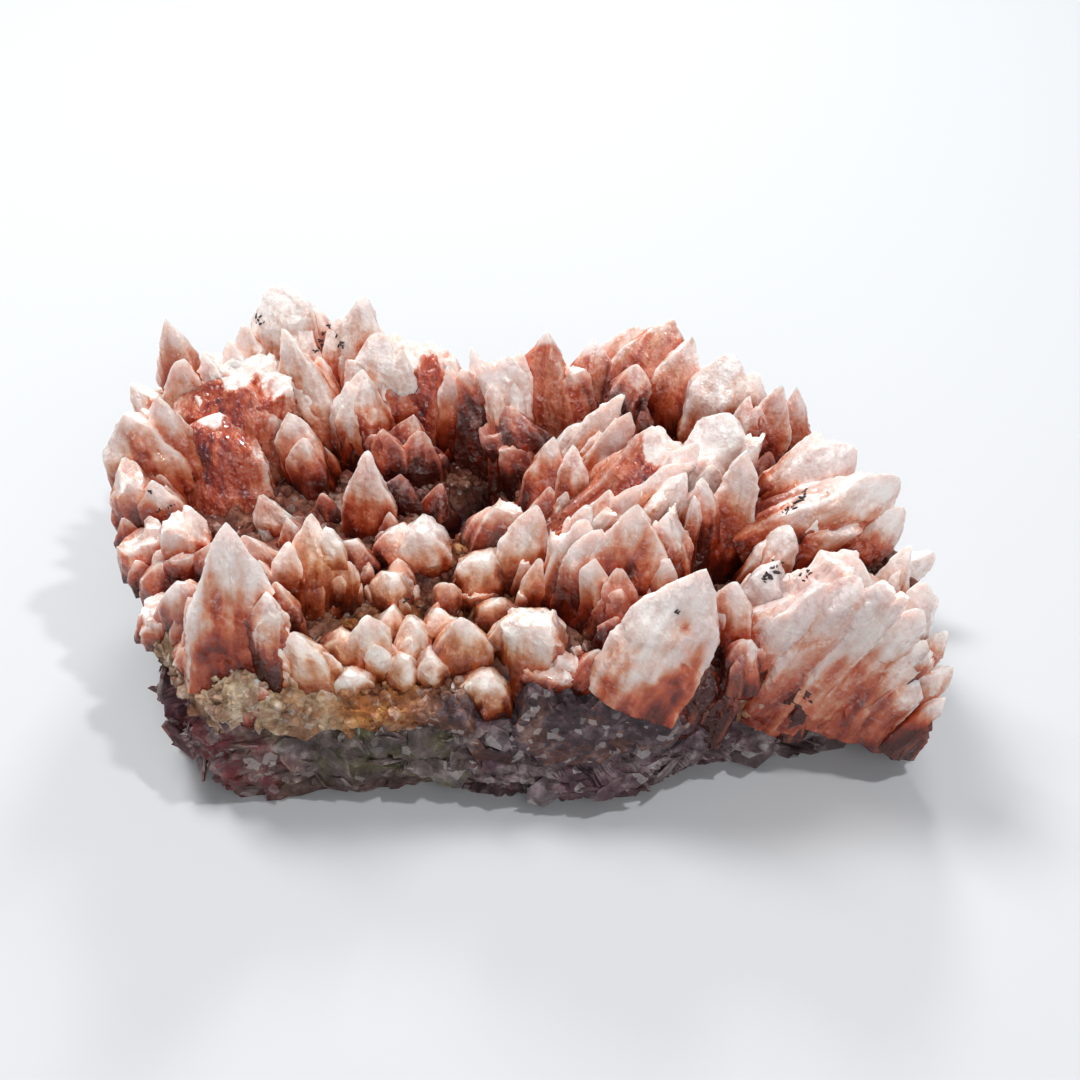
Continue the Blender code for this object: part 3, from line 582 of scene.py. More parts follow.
def keep_in_box(item: bpy.types.Object, low: Vector, high: Vector) -> None:
    """Flatten what would stand out of a box, so that the piece stays inside it."""
    points = np.empty(len(item.data.vertices) * 3, np.float32)
    item.data.vertices.foreach_get("co", points)
    margin = BOX_MARGIN * MM
    points = np.clip(points.reshape(-1, 3), np.array(low) + margin, np.array(high) - margin)
    item.data.vertices.foreach_set("co", points.astype(np.float32).ravel())
    item.data.update()


# Crystals

def tooth_axis(tooth: Tooth) -> np.ndarray:
    """Unit vector from the root of a crystal to its tip."""
    right, back = np.tan(np.radians(tooth.lean))
    axis = np.array((right, back, 1.0))
    return axis / np.linalg.norm(axis)


def tooth_frame(tooth: Tooth) -> tuple[np.ndarray, np.ndarray, np.ndarray]:
    """Unit vectors along a crystal, across it and through it."""
    axis = tooth_axis(tooth)
    across = np.cross((0.0, 1.0, 0.0), axis)
    across /= np.linalg.norm(across)
    return axis, across, np.cross(axis, across)


def tooth_length(tooth: Tooth) -> float:
    """Length from the tip down to the root, which is buried in the crust."""
    if tooth.length:
        return tooth.length
    axis = tooth_axis(tooth)
    tip = np.array(tooth.tip, float)
    length = (tip[2] - crust_level(tip[0], tip[1])) / axis[2]
    for _ in range(3):
        root = tip - axis * length
        length = (tip[2] - crust_level(root[0], root[1]) + ROOT_DEPTH) / axis[2]
    return float(length)


def bend(points: np.ndarray) -> np.ndarray:
    """Slow sideways drift of every blade, which keeps neighbours from being straight."""
    slow = points * 0.085
    fine = points * 0.23
    drift = [1.1 * value_noise(slow, 60 + k) + 0.35 * value_noise(fine, 63 + k) for k in range(2)]
    return np.column_stack([*drift, points[:, 2] * 0.0])


# Share of its full width that a crystal has at its shoulder, below which it only swells slowly
SHOULDER_SHARE = 0.93


@dataclass(frozen=True)
class CrystalShape:
    """Surface of one crystal as a function of the way around it and the distance from its tip."""

    tooth: Tooth
    seed: int
    spacing: float = 0.55
    roundness: float = 0.12
    zigzag: float = 0.14
    terraces: int = 4
    cap_rows: int = 8
    facets: int = 7

    def section(self, chance: random.Random) -> tuple[np.ndarray, np.ndarray]:
        """Cross-section of half-width 1: a hexagon with long and short radii and eased corners.

        Args:
            chance: Source of the small differences between corners.

        Returns:
            Points around the section, and how near each is to a corner, from 0 to 1.
        """
        steps = int(np.clip(self.tooth.width / self.spacing / 2.2, 3, 14))
        angles = [math.radians(60 * k + self.tooth.turn + chance.uniform(-8, 8)) for k in range(6)]
        radii = [(1.0 if k % 2 else 0.86) * chance.uniform(0.92, 1.08) for k in range(6)]
        corners = np.array([(r * math.cos(a), r * math.sin(a)) for a, r in zip(angles, radii)])
        ease = np.concatenate([[0.0, 0.07], np.linspace(0.07, 0.93, steps + 1)[1:]])
        start = corners[:, None]
        end = np.roll(corners, -1, axis=0)[:, None]
        points = (start * (1 - ease[None, :, None]) + end * ease[None, :, None]).reshape(-1, 2)
        near = np.tile(np.minimum(ease, 1 - ease), 6)
        reach = np.linalg.norm(points, axis=-1, keepdims=True)
        soft = self.roundness + (0.16 if self.tooth.end is BLUNT else 0.0)
        points = points * (1 - soft + soft * 0.93 / reach)
        points[near == 0.0] *= 0.98
        return points, np.exp(-(near / 0.12) ** 2)

    def rows(self, length: float) -> tuple[np.ndarray, np.ndarray]:
        """Distance of each row from the tip, and its share of the width where it caps a stump."""
        count = int(np.clip(length / self.spacing, 14, 64))
        down = length * np.linspace(0, 1, count + 1)[1:] ** 1.25
        if self.tooth.end is not STUMP:
            return down, np.ones(count)
        cap = np.linspace(0.0, 1.0, self.cap_rows + 1)[1:]
        return np.concatenate([cap * 0.0, down]), np.concatenate([cap, np.ones(count)])

    def width_share(self, down: np.ndarray, around: np.ndarray, length: float) -> np.ndarray:
        """Share of the full width: it opens along the tip, then swells slowly to the root.

        Args:
            down: Distance from the tip.
            around: Angle around the axis.
            length: Whole length of the crystal.

        Returns:
            The share for each pair of the two.
        """
        shoulder = self.tooth.taper * (1 + self.zigzag * np.cos(3 * around))
        open_share = down / shoulder
        start, power = {POINT: (0.0, 0.95), BLUNT: (0.0, 0.55), STUMP: (0.74, 1.0)}[self.tooth.end]
        tip = start + (SHOULDER_SHARE - start) * np.clip(open_share, 0, 1) ** power
        body = SHOULDER_SHARE + 0.11 * np.clip((down - shoulder) / (length - shoulder), 0, 1)
        return np.where(open_share < 1, tip, body)

    def chisel(self, share: np.ndarray) -> np.ndarray:
        """Shares across and through: a point opens sooner in its width, as a chisel does."""
        if self.tooth.end is not POINT:
            return np.stack([share, share], -1)
        return np.stack([SHOULDER_SHARE * (share / SHOULDER_SHARE) ** 0.72, share], -1)

    def cleave(
        self, local: np.ndarray, half: np.ndarray, length: float, chance: random.Random,
    ) -> np.ndarray:
        """Cut flat facets: what stands past a plane is pressed back onto it.

        Args:
            local: Points across, through and down from the tip.
            half: Half width and half depth.
            length: Length of the crystal.
            chance: Source of the planes.

        Returns:
            The points with their facets.
        """
        scale = np.array((half[0], half[1], 0.5 * length))
        unit = local / scale
        for k in range(self.facets):
            turn = 2 * math.pi * (k + chance.uniform(-0.3, 0.3)) / self.facets
            normal = np.array((math.cos(turn), math.sin(turn), chance.uniform(-0.35, 0.12)))
            normal /= np.linalg.norm(normal)
            middle = np.array((0.0, 0.0, chance.uniform(0.25, 0.9)))
            past = (unit - middle) @ normal - chance.uniform(0.66, 0.88)
            unit = unit - np.maximum(past, 0.0)[..., None] * normal
        tilt = chance.uniform(0, 2 * math.pi)
        normal = np.array((0.62 * math.cos(tilt), 0.62 * math.sin(tilt), -0.78))
        past = (unit - (0.0, 0.0, chance.uniform(0.02, 0.1))) @ normal
        unit = unit - np.maximum(past, 0.0)[..., None] * normal
        return unit * scale

    def relief(self, local: np.ndarray, fade: np.ndarray) -> np.ndarray:
        """Outward relief in millimetres: striae along the axis, small facets and fine grit."""
        striae = 0.16 * value_noise(local * (1.3, 1.3, 0.1), self.seed)
        facets = 0.24 * fracture(local * (0.4, 0.4, 0.17), 1.0, self.seed)
        facets += 0.11 * fracture(local * (0.95, 0.95, 0.5), 1.0, self.seed + 1)
        return (striae + facets + 0.05 * value_noise(local * 1.7, self.seed)) * fade

    def arrays(self) -> "Shell":
        """Skin of the crystal.

        A point is the tip, less the axis times the distance down, plus the section scaled by the
        width share, by a few terraces that step outwards on the way down, and by the relief.

        Returns:
            Points in millimetres with their triangles, growth coordinates and shades.
        """
        tooth = self.tooth
        chance = random.Random(self.seed)
        axis, across, through = tooth_frame(tooth)
        length = tooth_length(tooth)
        section, near = self.section(chance)
        rows, cap = self.rows(length)
        down = rows[:, None]
        around = np.arctan2(section[:, 1], section[:, 0])[None] - math.radians(tooth.turn)
        share = self.width_share(down, around, length) * cap[:, None]
        circle = np.broadcast_arrays(np.cos(around) * 1.3, np.sin(around) * 1.3, down * 0.05)
        wave = np.stack(circle, -1)
        for step in range(self.terraces):
            start = chance.uniform(0.08, 0.7) * length
            ledge = down - start - 0.3 * tooth.taper * value_noise(wave, self.seed + step)
            share = share * (1 - chance.uniform(0.02, 0.07) * (1 - smooth_step(-0.2, 0.2, ledge)))
        half = CROWDING / 2 * np.array((tooth.width, tooth.depth))
        side = section[None] * half * self.chisel(share)
        tall = np.broadcast_to(down[..., None], share.shape + (1,))
        local = self.cleave(np.concatenate([side, tall], -1), half, length, chance)
        shift = float(self.seed % 97) * 3.1
        swell = 1 + 0.07 * value_noise(local * 0.28 + shift) + 0.03 * value_noise(local * 0.8 + shift)
        core = self.core_mask(local, half, length)
        fade = np.clip(down / 2.5, 0.2, 1.0)
        grit = self.relief(local + shift, fade) * (1 - 0.6 * core)
        grit += 0.2 * core * fracture(local * 1.7, 0.6, self.seed)
        reach = np.linalg.norm(local[..., :2], axis=-1, keepdims=True) + 0.4
        local[..., :2] *= swell[..., None] + grit[..., None] / reach
        if tooth.end is STUMP:
            local[..., 2] += self.jagged(local, tooth.width) * np.clip(1 - down / tooth.taper, 0, 1)
        points = np.array(tooth.tip, float) + local @ np.stack([across, through, -axis])
        top = points[0].mean(axis=0)
        points = np.vstack([points.reshape(-1, 3), top, points[-1].mean(axis=0)])
        points += bend(points)
        points[:, 2] = np.maximum(points[:, 2], LOWEST_CRYSTAL)
        grow = np.vstack([local.reshape(-1, 3), (0, 0, 0), (0, 0, length)]) + shift
        # Redness towards the root, with painted light: faces that look up are paler, faces that look down
        # darker.
        outward = section @ np.stack([across, through])
        along = tooth.blush_and_shade * (down / length - 0.45 * outward[None, :, 2])
        # Rim: white frost along the corners and at the tip, partly painted light shining through the thin
        # edges.
        flank = smooth_step(0.45, 0.85, np.abs(section[:, 0]))
        rim = np.broadcast_to((near * flank)[None], share.shape) * cap[:, None]
        rim = np.maximum(rim, np.exp(-down / 1.6))
        paint = np.stack([along, np.full(share.shape, tooth.tone), core, rim], -1).reshape(-1, 4)
        paint = np.vstack([paint, paint[: len(section)].mean(axis=0), paint[-1]])
        return Shell(points, tube_faces(len(rows), len(section)), grow, paint, tooth.blush_and_shade)

    def core_mask(self, local: np.ndarray, half: np.ndarray, length: float) -> np.ndarray:
        """How far a place is inside the broken heart on the front, from 0 to the tooth's core."""
        tooth = self.tooth
        if tooth.core == 0.0:
            return np.zeros(local.shape[:-1])
        wander = 0.2 * layered_noise(local * (0.35, 0.35, 0.15), 2, self.seed)
        side = 1.25 * np.abs(local[..., 0] / half[0] + 0.1) + wander
        tall = local[..., 2] / length + wander * 0.4
        top = smooth_step(0.03, 0.14, tall) if tooth.rimmed else 1.0
        mask = smooth_step(1.15, 0.2, side) * top
        return tooth.core * mask * smooth_step(0.8, 0.2, local[..., 1] / half[1])

    def jagged(self, local: np.ndarray, width: float) -> np.ndarray:
        """Depth of the steps in a broken end."""
        steps = fracture(local * (1, 1, 0) * (2.6 / width), 0.7, self.seed)
        fine = fracture(local * (1, 1, 0) * 0.7, 1.0, self.seed + 2)
        depth = 0.14 if self.tooth.core < 0.7 else 0.05
        return width * depth * (1 + steps) + 0.35 * fine


@dataclass
class Shell:
    """Arrays of one crystal's skin."""

    points: np.ndarray
    faces: np.ndarray
    grow: np.ndarray
    paint: np.ndarray
    blush_and_shade: float


class Canopy:
    """Level that the crystals around a place reach, on a grid in the plan.

    The level is the highest point in each cell, spread to its neighbours and then averaged, so
    that a place far below it lies in a crevice, where the crystals are painted darker as painted
    shade.
    """

    size = np.array((140, 100))
    cell = 1.0
    spread = 2
    soften = 3
    depth = 15.0
    ground = 6.0
    shelter = 5
    open_crevice = 0.4

    def __init__(self, points: np.ndarray) -> None:
        """Gather the highest points of all the crystals."""
        self.low = -self.size * self.cell / 2
        grid = np.full(self.size, -1.0)
        column = self.columns(points)
        np.maximum.at(grid, (column[:, 0], column[:, 1]), points[:, 2])
        for axis in (0, 1):
            moved = [np.roll(grid, step, axis) for step in range(-self.spread, self.spread + 1)]
            grid = np.max(moved, axis=0)
        self.grid = self.spread_out(grid, self.soften)
        filled = self.spread_out(np.where(self.grid > self.ground, 1.0, 0.0), self.shelter)
        self.shut_in = smooth_step(0.55, 0.97, filled)

    @staticmethod
    def spread_out(grid: np.ndarray, reach: int) -> np.ndarray:
        """Average of each cell with its neighbours out to a reach."""
        for axis in (0, 1, 0, 1):
            moved = [np.roll(grid, step, axis) for step in range(-reach, reach + 1)]
            grid = np.mean(moved, axis=0)
        return grid

    def columns(self, points: np.ndarray) -> np.ndarray:
        """Cell of each point."""
        cells = ((points[:, :2] - self.low) / self.cell).astype(int)
        return np.clip(cells, 0, self.size - 1)

    def crevice_shade(self, points: np.ndarray) -> np.ndarray:
        """Depth of each point below the canopy, from 0 at it to 1 at the full depth, used as painted
        crevice shade.
        """
        i, j = self.columns(points).T
        below = np.clip((self.grid[i, j] - points[:, 2]) / self.depth, 0, 1)
        return below * (self.open_crevice + (1 - self.open_crevice) * self.shut_in[i, j])


def side_teeth(tooth: Tooth, seed: int) -> list[Tooth]:
    """Smaller crystals in parallel growth around a tooth, which give it a stepped outline.

    Args:
        tooth: The crystal that they lean on.
        seed: Source of their number and places.

    Returns:
        The side crystals.
    """
    chance = random.Random(seed)
    axis, across, through = tooth_frame(tooth)
    whole = tooth_length(tooth)
    sides = []
    count = round(tooth.company * (2 + tooth.width / 3.4))
    for k in range(count):
        angle = 2 * math.pi * (k + chance.uniform(-0.35, 0.35)) / count
        size = chance.uniform(0.4, 0.72)
        half = CROWDING / 2 * chance.uniform(0.4, 0.74)
        drop = tooth.taper * chance.uniform(0.2, 1.1) + whole * chance.uniform(0.0, 0.25)
        tip = np.array(tooth.tip, float) - axis * drop
        tip += across * math.cos(angle) * tooth.width * half
        tip += through * math.sin(angle) * tooth.depth * half
        lean = tuple(degrees + chance.uniform(-4, 4) for degrees in tooth.lean)
        width = max(2.4, tooth.width * size)
        if tooth.company < 1.0 and math.sin(angle) < -0.1 or tooth.core and math.sin(angle) < 0.3:
            continue
        sides.append(replace(
            tooth, tip=tuple(tip), lean=lean, width=width, depth=width * 0.7,
            taper=width * chance.uniform(0.6, 1.1), turn=chance.uniform(0, 60),
            end=chance.choice((POINT, POINT, STUMP, tooth.end)), length=max(5.0, whole - drop),
            core=0.0, tone=min(1.0, tooth.tone + chance.uniform(-0.1, 0.25)),
        ))
    return sides


def grow_together(items: list[bpy.types.Object], name: str) -> bpy.types.Object:
    """Join overlapping crystals into one skin, which keeps their growth coordinates.

    Args:
        items: Closed crystals, not linked to the scene.
        name: Name of the joined piece.

    Returns:
        The joined piece, linked to the scene.
    """
    base = link(items[0])
    others = bpy.data.collections.new(name)
    bpy.context.scene.collection.children.link(others)
    for item in items[1:]:
        others.objects.link(item)
    tool = base.modifiers.new("Join", "BOOLEAN")
    tool.operation = "UNION"
    tool.solver = "MANIFOLD"
    tool.operand_type = "COLLECTION"
    tool.collection = others
    bpy.context.view_layer.update()
    evaluated = base.evaluated_get(bpy.context.evaluated_depsgraph_get())
    joined = link(bpy.data.objects.new(name, bpy.data.meshes.new_from_object(evaluated)))
    joined.data.name = name
    for item in items:
        bpy.data.objects.remove(item)
    bpy.data.collections.remove(others)
    return joined


@dataclass
class CrystalBank:
    """One bank of teeth, grown together into one piece.

    A crystal is painted darker with its depth below the canopy, as painted shade in the
    crevices, and reddens with the distance from its own tip.
    """

    name: str
    teeth: tuple[Tooth, ...]
    seed: int
    crevice_shade_weight: float = 0.72
    growth_weight: float = 0.58

    def shells(self) -> list[Shell]:
        """Skins of the teeth and of their side crystals."""
        grown = []
        for number, tooth in enumerate(self.teeth):
            key = self.seed * 100 + number
            grown.append(CrystalShape(tooth, key).arrays())
            for k, side in enumerate(side_teeth(tooth, key)):
                grown.append(CrystalShape(side, key * 13 + k, 0.6, terraces=2).arrays())
        return grown

    def build(self, grown: list[Shell], canopy: Canopy, finish: "CalciteFinish") -> bpy.types.Object:
        """Join and dress the bank.

        Args:
            grown: Skins of its crystals.
            canopy: Level that all the crystals reach.
            finish: The calcite finish.

        Returns:
            The finished piece.
        """
        items = []
        for shell in grown:
            # Painted shade: a place deep below the canopy is darkened, on top of the redness towards the
            # root.
            crevice_shade = canopy.crevice_shade(shell.points) * shell.blush_and_shade
            red_and_crevice_shade = self.crevice_shade_weight * crevice_shade + self.growth_weight * shell.paint[:, 0]
            shell.paint[:, 0] = np.clip(red_and_crevice_shade, 0, 1)
            item = mesh_object("tooth", shell.points, shell.faces)
            set_attribute(item.data, "grow", shell.grow)
            set_attribute(item.data, "shade", shell.paint)
            items.append(item)
        bank = grow_together(items, self.name)
        keep_in_box(bank, CAD_LOW, CAD_HIGH)
        shade(bank, 32)
        bank.data.materials.clear()
        bank.data.materials.append(finish.material())
        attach(bank, "root")
        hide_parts("crystals")
        return bank


def crowded(x: float, y: float, taken: list[np.ndarray], clearance: float) -> bool:
    """Whether a place is too close to a crystal that stands already."""
    return bool(np.hypot(*(np.array(taken) - (x, y)).T).min() < clearance)


@dataclass(frozen=True)
class Slope:
    """Rows of crystals over the back bank, each with its inset, outward lean and length.

    The rows run from start to end, as shares of the way around the plan, with count crystals in
    each. Crystals in front of behind, in millimetres along Y, are left out.
    """

    rows: tuple[tuple[float, float, float], ...]
    start: float
    end: float
    count: int
    width: float
    clearance: float
    seed: int
    behind: float = -60.0

    def teeth(self, taken: list[np.ndarray]) -> list[Tooth]:
        """Crystals that lean outwards under the skyline of the crown, clear of those that stand.

        Args:
            taken: Places in the plan that are taken, to which the new ones are added.

        Returns:
            The crystals.
        """
        chance = random.Random(self.seed)
        teeth = []
        for row, (inset, tilt, length) in enumerate(self.rows):
            for k in range(self.count):
                step = (k + 0.5 * (row % 2) + chance.uniform(-0.2, 0.2)) / self.count
                share = self.start + (self.end - self.start) * step
                x, y = outline_points(np.array(share), np.array(inset))
                out = np.array((x / HALF_LENGTH ** 2, y / HALF_WIDTH ** 2))
                out *= math.tan(math.radians(tilt + chance.uniform(-8, 8))) / np.linalg.norm(out)
                axis = np.array((out[0], out[1], 1.0)) / math.sqrt(1 + out @ out)
                reach = length * chance.uniform(0.8, 1.15)
                tip = np.array((x, y, crust_level(x, y))) + axis * reach
                tip[2] = min(tip[2], skyline(tip[0], tip[1]))
                width = self.width * chance.uniform(0.75, 1.25)
                turn = chance.uniform(0, 60)
                end = chance.choice((POINT, POINT, BLUNT, STUMP))
                if crowded(tip[0], tip[1], taken, self.clearance) or tip[1] < self.behind:
                    continue
                lean = tuple(np.degrees(np.arctan(out)))
                size = (width, width * 0.8, width * 0.9)
                tone = 0.25 + 0.5 * (k * 7 % 5) / 5
                teeth.append(Tooth(tuple(tip), lean, *size, turn, end, reach + ROOT_DEPTH, tone))
                taken.append(tip[:2])
        return teeth


BACK_SLOPE = Slope(BACK_ROWS, BACK_START, BACK_END, BACK_COUNT, BACK_WIDTH, FILL_CLEARANCE, 17)
BETWEEN_SLOPE = Slope(
    ((1.0, 52.0, 8.0), (4.5, 44.0, 9.0), (8.0, 36.0, 10.0), (11.5, 24.0, 11.0), (15.0, 12.0, 12.0)),
    0.46, 0.965, 46, 5.6, 3.3, 19, 9.0,
)


def fill_teeth(taken: list[np.ndarray]) -> list[Tooth]:
    """Crystals that close the gaps between the named ones."""
    chance = random.Random(FILL_SEED)
    teeth = []
    rows = int(2 * HALF_LENGTH / FILL_STEP)
    for i in range(-rows, rows):
        for j in range(-rows, rows):
            x = FILL_STEP * (i + 0.5 * (j % 2)) + chance.uniform(-1.5, 1.5)
            y = FILL_STEP * j * 0.87 + chance.uniform(-1.5, 1.5)
            width = FILL_WIDTH * chance.uniform(0.8, 1.2)
            drop = chance.uniform(0.0, 6.0)
            turn = chance.uniform(0, 60)
            top = min(float(skyline(x, y)), FILL_TOP) - drop
            low = top < crust_level(x, y) + 5.0
            if low or not inside_outline(x, y, 4.0) or crowded(x, y, taken, FILL_CLEARANCE):
                continue
            lean = (26 * x * abs(x) / HALF_LENGTH ** 2, 20 * y * abs(y) / HALF_WIDTH ** 2)
            end = BLUNT if drop > 3.0 else POINT
            size = (width, width * 0.8, width * 0.8)
            teeth.append(Tooth((x, y, top), lean, *size, turn, end, tone=0.3 + 0.1 * drop))
            taken.append(np.array((x, y)))
    return teeth


def all_banks() -> list[CrystalBank]:
    """The named banks, then the back bank and the crystals that close the gaps."""
    banks = [CrystalBank(name, teeth, 11 + k) for k, (name, teeth) in enumerate(NAMED_BANKS.items())]
    taken = [np.array(tooth.tip[:2], float) for bank in banks for tooth in bank.teeth]
    taken += [np.array(place) for place in OPEN_PLACES]
    for bank in banks:
        for tooth in bank.teeth:
            middle = np.array(tooth.tip) - tooth_axis(tooth) * tooth_length(tooth) * 0.5
            taken.append(middle[:2])
    banks.append(CrystalBank("back_bank_teeth", tuple(BACK_SLOPE.teeth(taken)), 31))
    banks.append(CrystalBank("gap_teeth", tuple(fill_teeth(taken)), 32))
    between = (replace(tooth, company=BETWEEN_COMPANY) for tooth in BETWEEN_SLOPE.teeth(taken))
    banks.append(CrystalBank("back_small_teeth", tuple(between), 33))
    return banks


# Shader trees

class Tree:
    """Small helper that writes a node tree from the inputs towards the shader."""

    def __init__(self, tree: bpy.types.NodeTree) -> None:
        """Keep the tree that the nodes go into."""
        self.tree = tree

    def node(self, kind: str, inputs: dict | None = None, **settings: object) -> bpy.types.Node:
        """Add a node.

        Args:
            kind: Blender's name of the node type.
            inputs: Value or output socket for each named or numbered input.
            settings: Properties of the node.

        Returns:
            The new node.
        """
        made = self.tree.nodes.new(kind)
        for key, value in settings.items():
            setattr(made, key, value)
        for key, value in (inputs or {}).items():
            if isinstance(value, bpy.types.NodeSocket):
                self.feed(value, made.inputs[key])
            else:
                made.inputs[key].default_value = value
        return made

    def feed(self, value: object, target: bpy.types.NodeSocket) -> None:
        """Link an output socket to an input."""
        self.tree.links.new(value, target)

    def math(
        self, operation: str, a: object, b: object = 0.0, c: object = 0.0, clamp: bool = False,
    ) -> object:
        """Result socket of a Math node on two or three values or sockets."""
        made = self.node("ShaderNodeMath", {0: a, 1: b, 2: c}, operation=operation, use_clamp=clamp)
        return made.outputs[0]

    def product(self, first: object, *others: object) -> object:
        """Result socket of several values or sockets multiplied one after another."""
        for other in others:
            first = self.math("MULTIPLY", first, other)
        return first

    def ramp(self, factor: object, stops: tuple) -> object:
        """Colour socket of a ramp through stops of position and colour."""
        made = self.node("ShaderNodeValToRGB", {0: factor})
        elements = made.color_ramp.elements
        while len(elements) < len(stops):
            elements.new(0.5)
        for element, (place, colour) in zip(elements, stops):
            element.position = place
            element.color = (*colour, 1.0)
        return made.outputs[0]

    def blend(self, factor: object, a: object, b: object) -> object:
        """Colour socket of a Mix node between two colours."""
        return self.node("ShaderNodeMix", {0: factor, 6: a, 7: b}, data_type="RGBA").outputs[2]

    def noise(self, vector: object, scale: object, detail: float, roughness: float = 0.6) -> object:
        """Value socket of a noise texture."""
        sockets = {"Vector": vector, "Scale": scale, "Detail": detail, "Roughness": roughness}
        return self.node("ShaderNodeTexNoise", sockets).outputs[0]

    def stretch(self, vector: object, scale: tuple) -> object:
        """Vector socket multiplied by a scale along each axis."""
        return self.node("ShaderNodeVectorMath", {0: vector, 1: scale}, operation="MULTIPLY").outputs[0]

    def between(self, value: object, low: float, high: float) -> object:
        """Value socket eased from 0 at low to 1 at high."""
        sockets = {0: value, 1: low, 2: high, 3: 0.0, 4: 1.0}
        return self.node("ShaderNodeMapRange", sockets, interpolation_type="SMOOTHSTEP").outputs[0]


def opaque(colour: tuple) -> tuple:
    """Colour with full alpha."""
    return (*colour, 1.0)


class EffectLibrary:
    """Node groups for effects that more than one material uses."""

    def __init__(self) -> None:
        """Build each group once."""
        self.grain = self.build_grain()
        self.stain = self.build_stain()

    @staticmethod
    def use(group: bpy.types.NodeTree, tree: Tree, place: object, scale: float) -> bpy.types.NodeOutputs:
        """Outputs of a group that is set into a material's tree at a scale."""
        made = tree.node("ShaderNodeGroup", node_tree=group)
        tree.feed(place, made.inputs["Vector"])
        made.inputs["Scale"].default_value = scale
        return made.outputs

    @staticmethod
    def new_group(name: str, inputs: tuple, outputs: tuple) -> tuple:
        """Empty group with named sockets.

        Args:
            name: Name of the group.
            inputs: Name, socket type and default of each input.
            outputs: Name of each value output.

        Returns:
            The group, its helper tree, its input node and its output node.
        """
        group = bpy.data.node_groups.new(name, "ShaderNodeTree")
        for title, kind, default in inputs:
            socket = group.interface.new_socket(title, in_out="INPUT", socket_type=kind)
            socket.default_value = default
        for title in outputs:
            group.interface.new_socket(title, in_out="OUTPUT", socket_type="NodeSocketFloat")
        tree = Tree(group)
        return group, tree, tree.node("NodeGroupInput"), tree.node("NodeGroupOutput")

    def build_grain(self) -> bpy.types.NodeTree:
        """Crystalline grain: facet height and a mask of scattered bright glints, also used as painted
        glints.
        """
        inputs = (("Vector", "NodeSocketVector", (0, 0, 0)), ("Scale", "NodeSocketFloat", 900.0))
        group, tree, source, target = self.new_group("calcite grain", inputs, ("Height", "Glint"))
        vector, scale = source.outputs["Vector"], source.outputs["Scale"]
        cells = tree.node("ShaderNodeTexVoronoi", {"Vector": vector, "Scale": scale})
        tint = tree.node("ShaderNodeSeparateColor", {0: cells.outputs["Color"]})
        facet = tree.math("MULTIPLY", tint.outputs[0], 0.7)
        fine = tree.math("MULTIPLY", tree.noise(vector, scale, 2.0, 0.5), 0.6)
        height = tree.math("ADD", facet, fine)
        glint = tree.between(tint.outputs[1], 0.82, 0.97)
        tree.feed(height, target.inputs["Height"])
        tree.feed(glint, target.inputs["Glint"])
        return group

    def build_stain(self) -> bpy.types.NodeTree:
        """Patchy stain: soft cloud broken up by finer noise."""
        inputs = (("Vector", "NodeSocketVector", (0, 0, 0)), ("Scale", "NodeSocketFloat", 120.0))
        group, tree, source, target = self.new_group("mineral stain", inputs, ("Mask",))
        vector, scale = source.outputs["Vector"], source.outputs["Scale"]
        cloud = tree.noise(vector, scale, 3.0, 0.5)
        fine = tree.noise(vector, tree.math("MULTIPLY", scale, 6.0), 1.0, 0.5)
        both = tree.math("ADD", tree.math("MULTIPLY", cloud, 0.72), tree.math("MULTIPLY", fine, 0.28))
        tree.feed(tree.between(both, 0.44, 0.6), target.inputs["Mask"])
        return group


def start_material(name: str) -> tuple[bpy.types.Material, Tree, bpy.types.Node]:
    """New material with its helper tree and its shader."""
    material = bpy.data.materials.new(name)
    material.use_nodes = True
    return material, Tree(material.node_tree), material.node_tree.nodes["Principled BSDF"]


